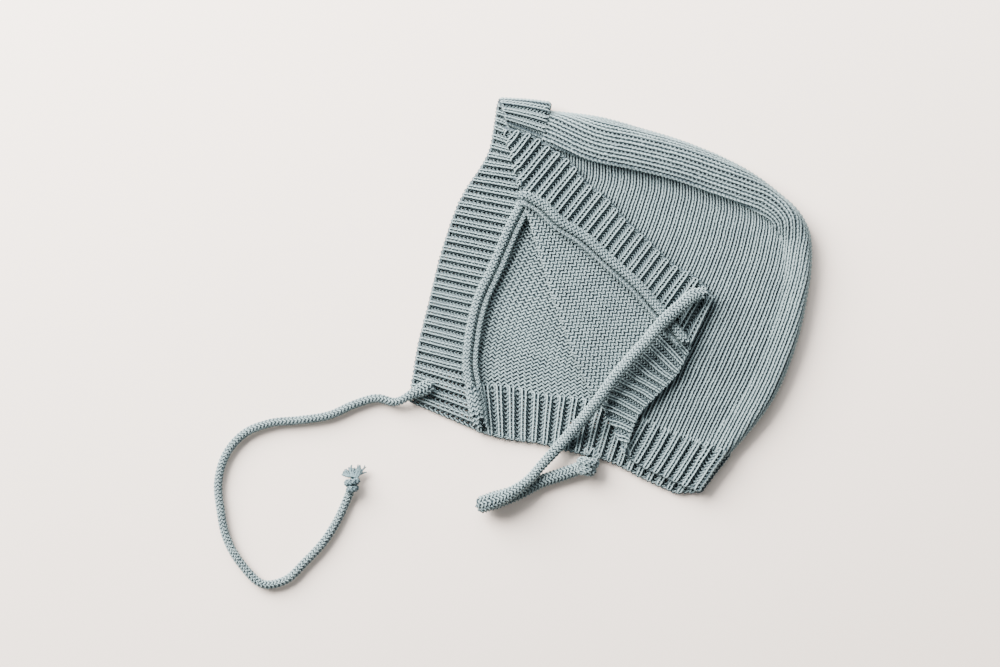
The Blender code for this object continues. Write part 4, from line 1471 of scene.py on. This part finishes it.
@dataclass(frozen=True)
class Knot:
    """A knot at the end of a tie: the cord coiled round its own end.

    Args:
        place: its middle, in face depths.
        size: its length, width and height.
        turn: direction of its length, in degrees.
        turns: how many times the cord goes round.
        cord: the cord, drawn tight.
        tufts: what stands out of its far end, a row each: beside the middle, angle in degrees,
            length, curl in degrees, diameter.
        loops: small loops of yarn on it, a row each: angle in degrees, reach, width.
        fibres: lengths of thin yarn in a tuft.
        scatter: how much they differ: in angle and curl, in degrees, in length, as a share, and in
            place beside the tuft and below it.
        root: how far inside the knot's end they start.
        loop_yarn: radius of the loops' yarn.
    """

    place: tuple[float, float]
    size: tuple[float, float, float]
    turn: float
    turns: float
    cord: Tube
    tufts: tuple = ()
    loops: tuple = ()
    fibres: int = 5
    scatter: tuple[float, ...] = (9.0, 30.0, 0.12, 0.0003, 0.0006)
    root: float = 0.0014
    loop_yarn: float = 0.00045

    def coil(self) -> tuple[np.ndarray, np.ndarray]:
        """The coil's middle line, a helix that dives into the knot at both ends, and the way out."""
        t = np.linspace(0.0, 1.0, 160)
        along, beside = self.ways()
        up = np.array([0.0, 0.0, 1.0])
        angle = 2 * np.pi * self.turns * t + 0.6
        dive = np.clip(np.minimum(t, 1 - t) / 0.08, 0.0, 1.0) ** 0.4
        wide = (self.size[1] - self.cord.wide) / 2 * dive
        high = (self.size[2] - self.cord.wide) / 2 * dive
        out = np.cos(angle)[:, None] * beside + np.sin(angle)[:, None] * up
        line = (
            self.middle()
            + (t - 0.5)[:, None] * (self.size[0] - self.cord.wide) * along
            + (np.cos(angle) * wide)[:, None] * beside
            + (np.sin(angle) * high)[:, None] * up
        )
        return line, out

    def middle(self) -> np.ndarray:
        """The knot's middle."""
        return np.array([*np.array(self.place) * FACE_DEPTH, self.size[2] / 2 + 0.0003])

    def ways(self) -> tuple[np.ndarray, np.ndarray]:
        """The ways along and beside the knot."""
        a = math.radians(self.turn)
        return np.array([math.cos(a), math.sin(a), 0.0]), np.array([-math.sin(a), math.cos(a), 0.0])

    def tie(self, yarn: YarnMesh, seed: int) -> int:
        """Adds the coil, the tufts and the loops, and counts the stitches."""
        along, beside = self.ways()
        up = np.array([0.0, 0.0, 1.0])
        centre = self.middle()
        t = np.linspace(0.0, 1.0, 14)
        chance = np.random.default_rng(seed)
        for off, angle, length, curl, wide in self.tufts:
            shifts = chance.normal(0.0, 1.0, (self.fibres, 5)) * self.scatter
            for turn, bend, longer, aside, lower in shifts:
                heading = np.radians(angle + turn + (curl + bend) * t)
                gone = length * (1 + longer) / len(t)
                run = np.cumsum(np.cos(heading)) * gone, np.cumsum(np.sin(heading)) * gone
                start = centre + along * (self.size[0] / 2 - self.root) + beside * (off + aside)
                line = start + run[0][:, None] * along + run[1][:, None] * beside
                sink = t * 0.3 * self.size[2] / 2 + lower * t
                radius = wide / 4 * (1 - 0.5 * t**3)
                yarn.add(line - sink[:, None] * up, np.tile(up, (len(t), 1)), radius)
        for angle, reach, wide in self.loops:
            heading = math.radians(angle)
            out = math.cos(heading) * along + math.sin(heading) * beside
            turned = np.cross(up, out)
            bend = np.pi * t[:, None]
            line = centre + out * (self.size[1] / 2 - 0.001 + reach * np.sin(bend))
            line = line - turned * np.cos(bend) * wide / 2 + up * 0.001
            yarn.add(line, np.tile(up, (len(t), 1)), self.loop_yarn)
        line, out = self.coil()
        return self.cord.knit(yarn, line, out, seed)


@dataclass
class Ties:
    """The two knitted cord ties and the knots at their ends.

    Args:
        right_cord: the right tie.
        left_cord: the left one.
        right_knot: the knot of the right one, with its yarn ends teased out.
        left_knot: the knot of the left one.
        finish: of the ties' yarn, with less painted shade where it dips.
        frayed: of the teased ends.
    """

    right_cord: Tube = Tube(
        wide=RIGHT_TIE_DIAMETER,
        high=RIGHT_TIE_DIAMETER,
        wales=5,
        yarn=0.00115,
        swell=((0, 1.1, 0.8), (0.006, 1.55, 1.0), (0.022, 1.65, 1.05), (0.036, 1.3, 1.0), (0.06, 1, 1)),
    )
    left_cord: Tube = Tube(
        swell=(
            (0.00, 1.00, 0.80),
            (0.03, 1.25, 1.00),
            (0.10, 1.18, 1.00),
            (0.30, 1.05, 1.00),
            (0.45, 1.08, 1.00),
            (0.56, 0.95, 0.95),
            (0.62, 0.95, 0.95),
            (0.69, 1.35, 1.00),
            (0.77, 1.65, 1.00),
            (0.83, 1.35, 1.00),
            (0.90, 1.22, 1.10),
            (1.00, 1.22, 1.15),
        ),
    )
    right_knot: Knot = Knot(
        place=(-0.832, -0.597),
        size=(0.0092, 0.0082, 0.0080),
        turn=80.0,
        turns=1.6,
        cord=Tube(wide=0.0038, high=0.0038, wales=4, course=0.0016, yarn=0.0011, depth=0.0003),
        tufts=(
            (0.0016, 46.0, 0.0036, 70.0, 0.0026),
            (0.0012, 34.0, 0.0044, 50.0, 0.0024),
            (0.0008, 20.0, 0.0050, 10.0, 0.0026),
            (0.0004, 8.0, 0.0054, -8.0, 0.0026),
            (0.0000, 0.0, 0.0056, -60.0, 0.0022),
            (-0.0006, -8.0, 0.0048, 12.0, 0.0024),
            (-0.0010, -20.0, 0.0064, -12.0, 0.0020),
            (-0.0012, -26.0, 0.0068, 34.0, 0.0016),
        ),
    )
    left_knot: Knot = Knot(
        place=(-0.081, -0.534),
        size=(0.0122, 0.0117, 0.0102),
        turn=66.0,
        turns=1.7,
        cord=Tube(wide=0.0058, high=0.0058, wales=6, course=0.0017, yarn=0.00115, depth=0.0003),
        loops=(
            (28.0, 0.0030, 0.0019),
            (2.0, 0.0036, 0.0020),
            (-24.0, 0.0030, 0.0018),
        ),
    )
    finish: CottonWithPaintedShade = field(default_factory=lambda: CottonWithPaintedShade("cord_cotton", shade=0.42))
    frayed: CottonWithPaintedShade = field(
        default_factory=lambda: CottonWithPaintedShade(
            "frayed_cotton", light=(0.125, 0.19, 0.21), use=Use.FRAYED
        )
    )

    def build(self) -> list[bpy.types.Object]:
        """Knits the ties and ties the knots, each as a piece of its own."""
        material, teased = self.finish.material(), self.frayed.material()
        pieces = []
        for side, table, cord, knot, seed in (
            ("right", RIGHT_TIE, self.right_cord, self.right_knot, 31),
            ("left", LEFT_TIE, self.left_cord, self.left_knot, 32),
        ):
            path = tie_path(table, cord.wide, knot.middle())
            yarn = YarnMesh()
            stitches = cord.knit(yarn, path, np.tile((0.0, 0.0, 1.0), (len(path), 1)), seed)
            tie = finished(yarn, f"{side}_tie", material, stitches)
            yarn = YarnMesh()
            stitches = knot.tie(yarn, seed + 20)
            yarn_finish = teased if knot.tufts else material
            lump = finished(yarn, f"{side}_tie_knot", yarn_finish, stitches)
            pieces += [tie, lump]
        return pieces


@dataclass(frozen=True)
class Lamp:
    """A soft square lamp that faces the bonnet.

    Args:
        name: of the lamp.
        place: of its middle.
        size: of its side, in metres.
        power: in watts.
        colour: of its light.
    """

    name: str
    place: tuple[float, float, float]
    size: float
    power: float
    colour: tuple[float, float, float]

    def build(self) -> None:
        """Hangs the lamp."""
        data = bpy.data.lights.new(self.name, "AREA")
        data.energy, data.size, data.color = self.power, self.size, self.colour
        made = bpy.data.objects.new(self.name, data)
        made.location = self.place
        made.rotation_mode = "QUATERNION"
        made.rotation_quaternion = (-Vector(self.place)).to_track_quat("-Z", "Y")
        bpy.context.scene.collection.objects.link(made)


@dataclass
class Studio:
    """The floor, the soft light and the camera straight above.

    Args:
        pixel: size of a pixel of the picture on the floor, in metres.
        wide: width of the picture, in pixels.
        height: of the camera over the floor.
        centre: the point of the floor in the middle of the picture.
        sensor: width of the camera's sensor, in millimetres.
        floor_size: of the floor's side.
        floor_drop: how far the floor lies below the bonnet.
        sky: colour of the light from all round.
        sky_strength: of that light.
        lamps: the window on the upper left and the fainter skylight.
    """

    pixel: float = 0.00048
    wide: int = 1000
    height: float = 1.5
    centre: tuple[float, float] = (-0.05338, -0.01844)
    sensor: float = 36.0
    floor_size: float = 6.0
    floor_drop: float = 0.0003
    sky: tuple[float, float, float] = (0.95, 0.98, 1.0)
    sky_strength: float = 0.45
    lamps: tuple[Lamp, ...] = (
        Lamp("window", (-1.45, 1.25, 1.20), 1.7, 440.0, (1.0, 0.965, 0.93)),
        Lamp("skylight", (-0.25, 1.70, 1.30), 1.5, 60.0, (0.97, 0.98, 1.0)),
    )

    def camera(self) -> None:
        """A long lens that looks straight down."""
        data = bpy.data.cameras.new("camera")
        data.sensor_width = self.sensor
        data.lens = self.sensor * self.height / (self.wide * self.pixel)
        made = bpy.data.objects.new("camera", data)
        made.location = (*self.centre, self.height)
        bpy.context.scene.collection.objects.link(made)
        bpy.context.scene.camera = made

    def build(self) -> None:
        """Sets the stage."""
        self.camera()
        bpy.ops.mesh.primitive_plane_add(
            size=self.floor_size, location=(0.0, 0.0, -self.floor_drop)
        )
        floor = bpy.context.object
        floor.name = "floor"
        floor.data.materials.append(FloorWithPaintedShade().material())
        world = bpy.data.worlds.new("studio")
        world.use_nodes = True
        light = world.node_tree.nodes["Background"].inputs
        light["Color"].default_value = (*self.sky, 1.0)
        light["Strength"].default_value = self.sky_strength
        bpy.context.scene.world = world
        for lamp in self.lamps:
            lamp.build()


def main() -> None:
    """Builds the stage and every piece, in order."""
    logging.basicConfig(level=logging.INFO, format="%(message)s")
    Studio().build()
    pieces = [piece for part in (Ties(), Seams(), Sides(), Bands()) for piece in part.build()]
    faces = sum(len(piece.data.polygons) for piece in pieces)
    log.info("bonnet: %d pieces, %d faces", len(pieces), faces)


if __name__ == "__main__":
    main()
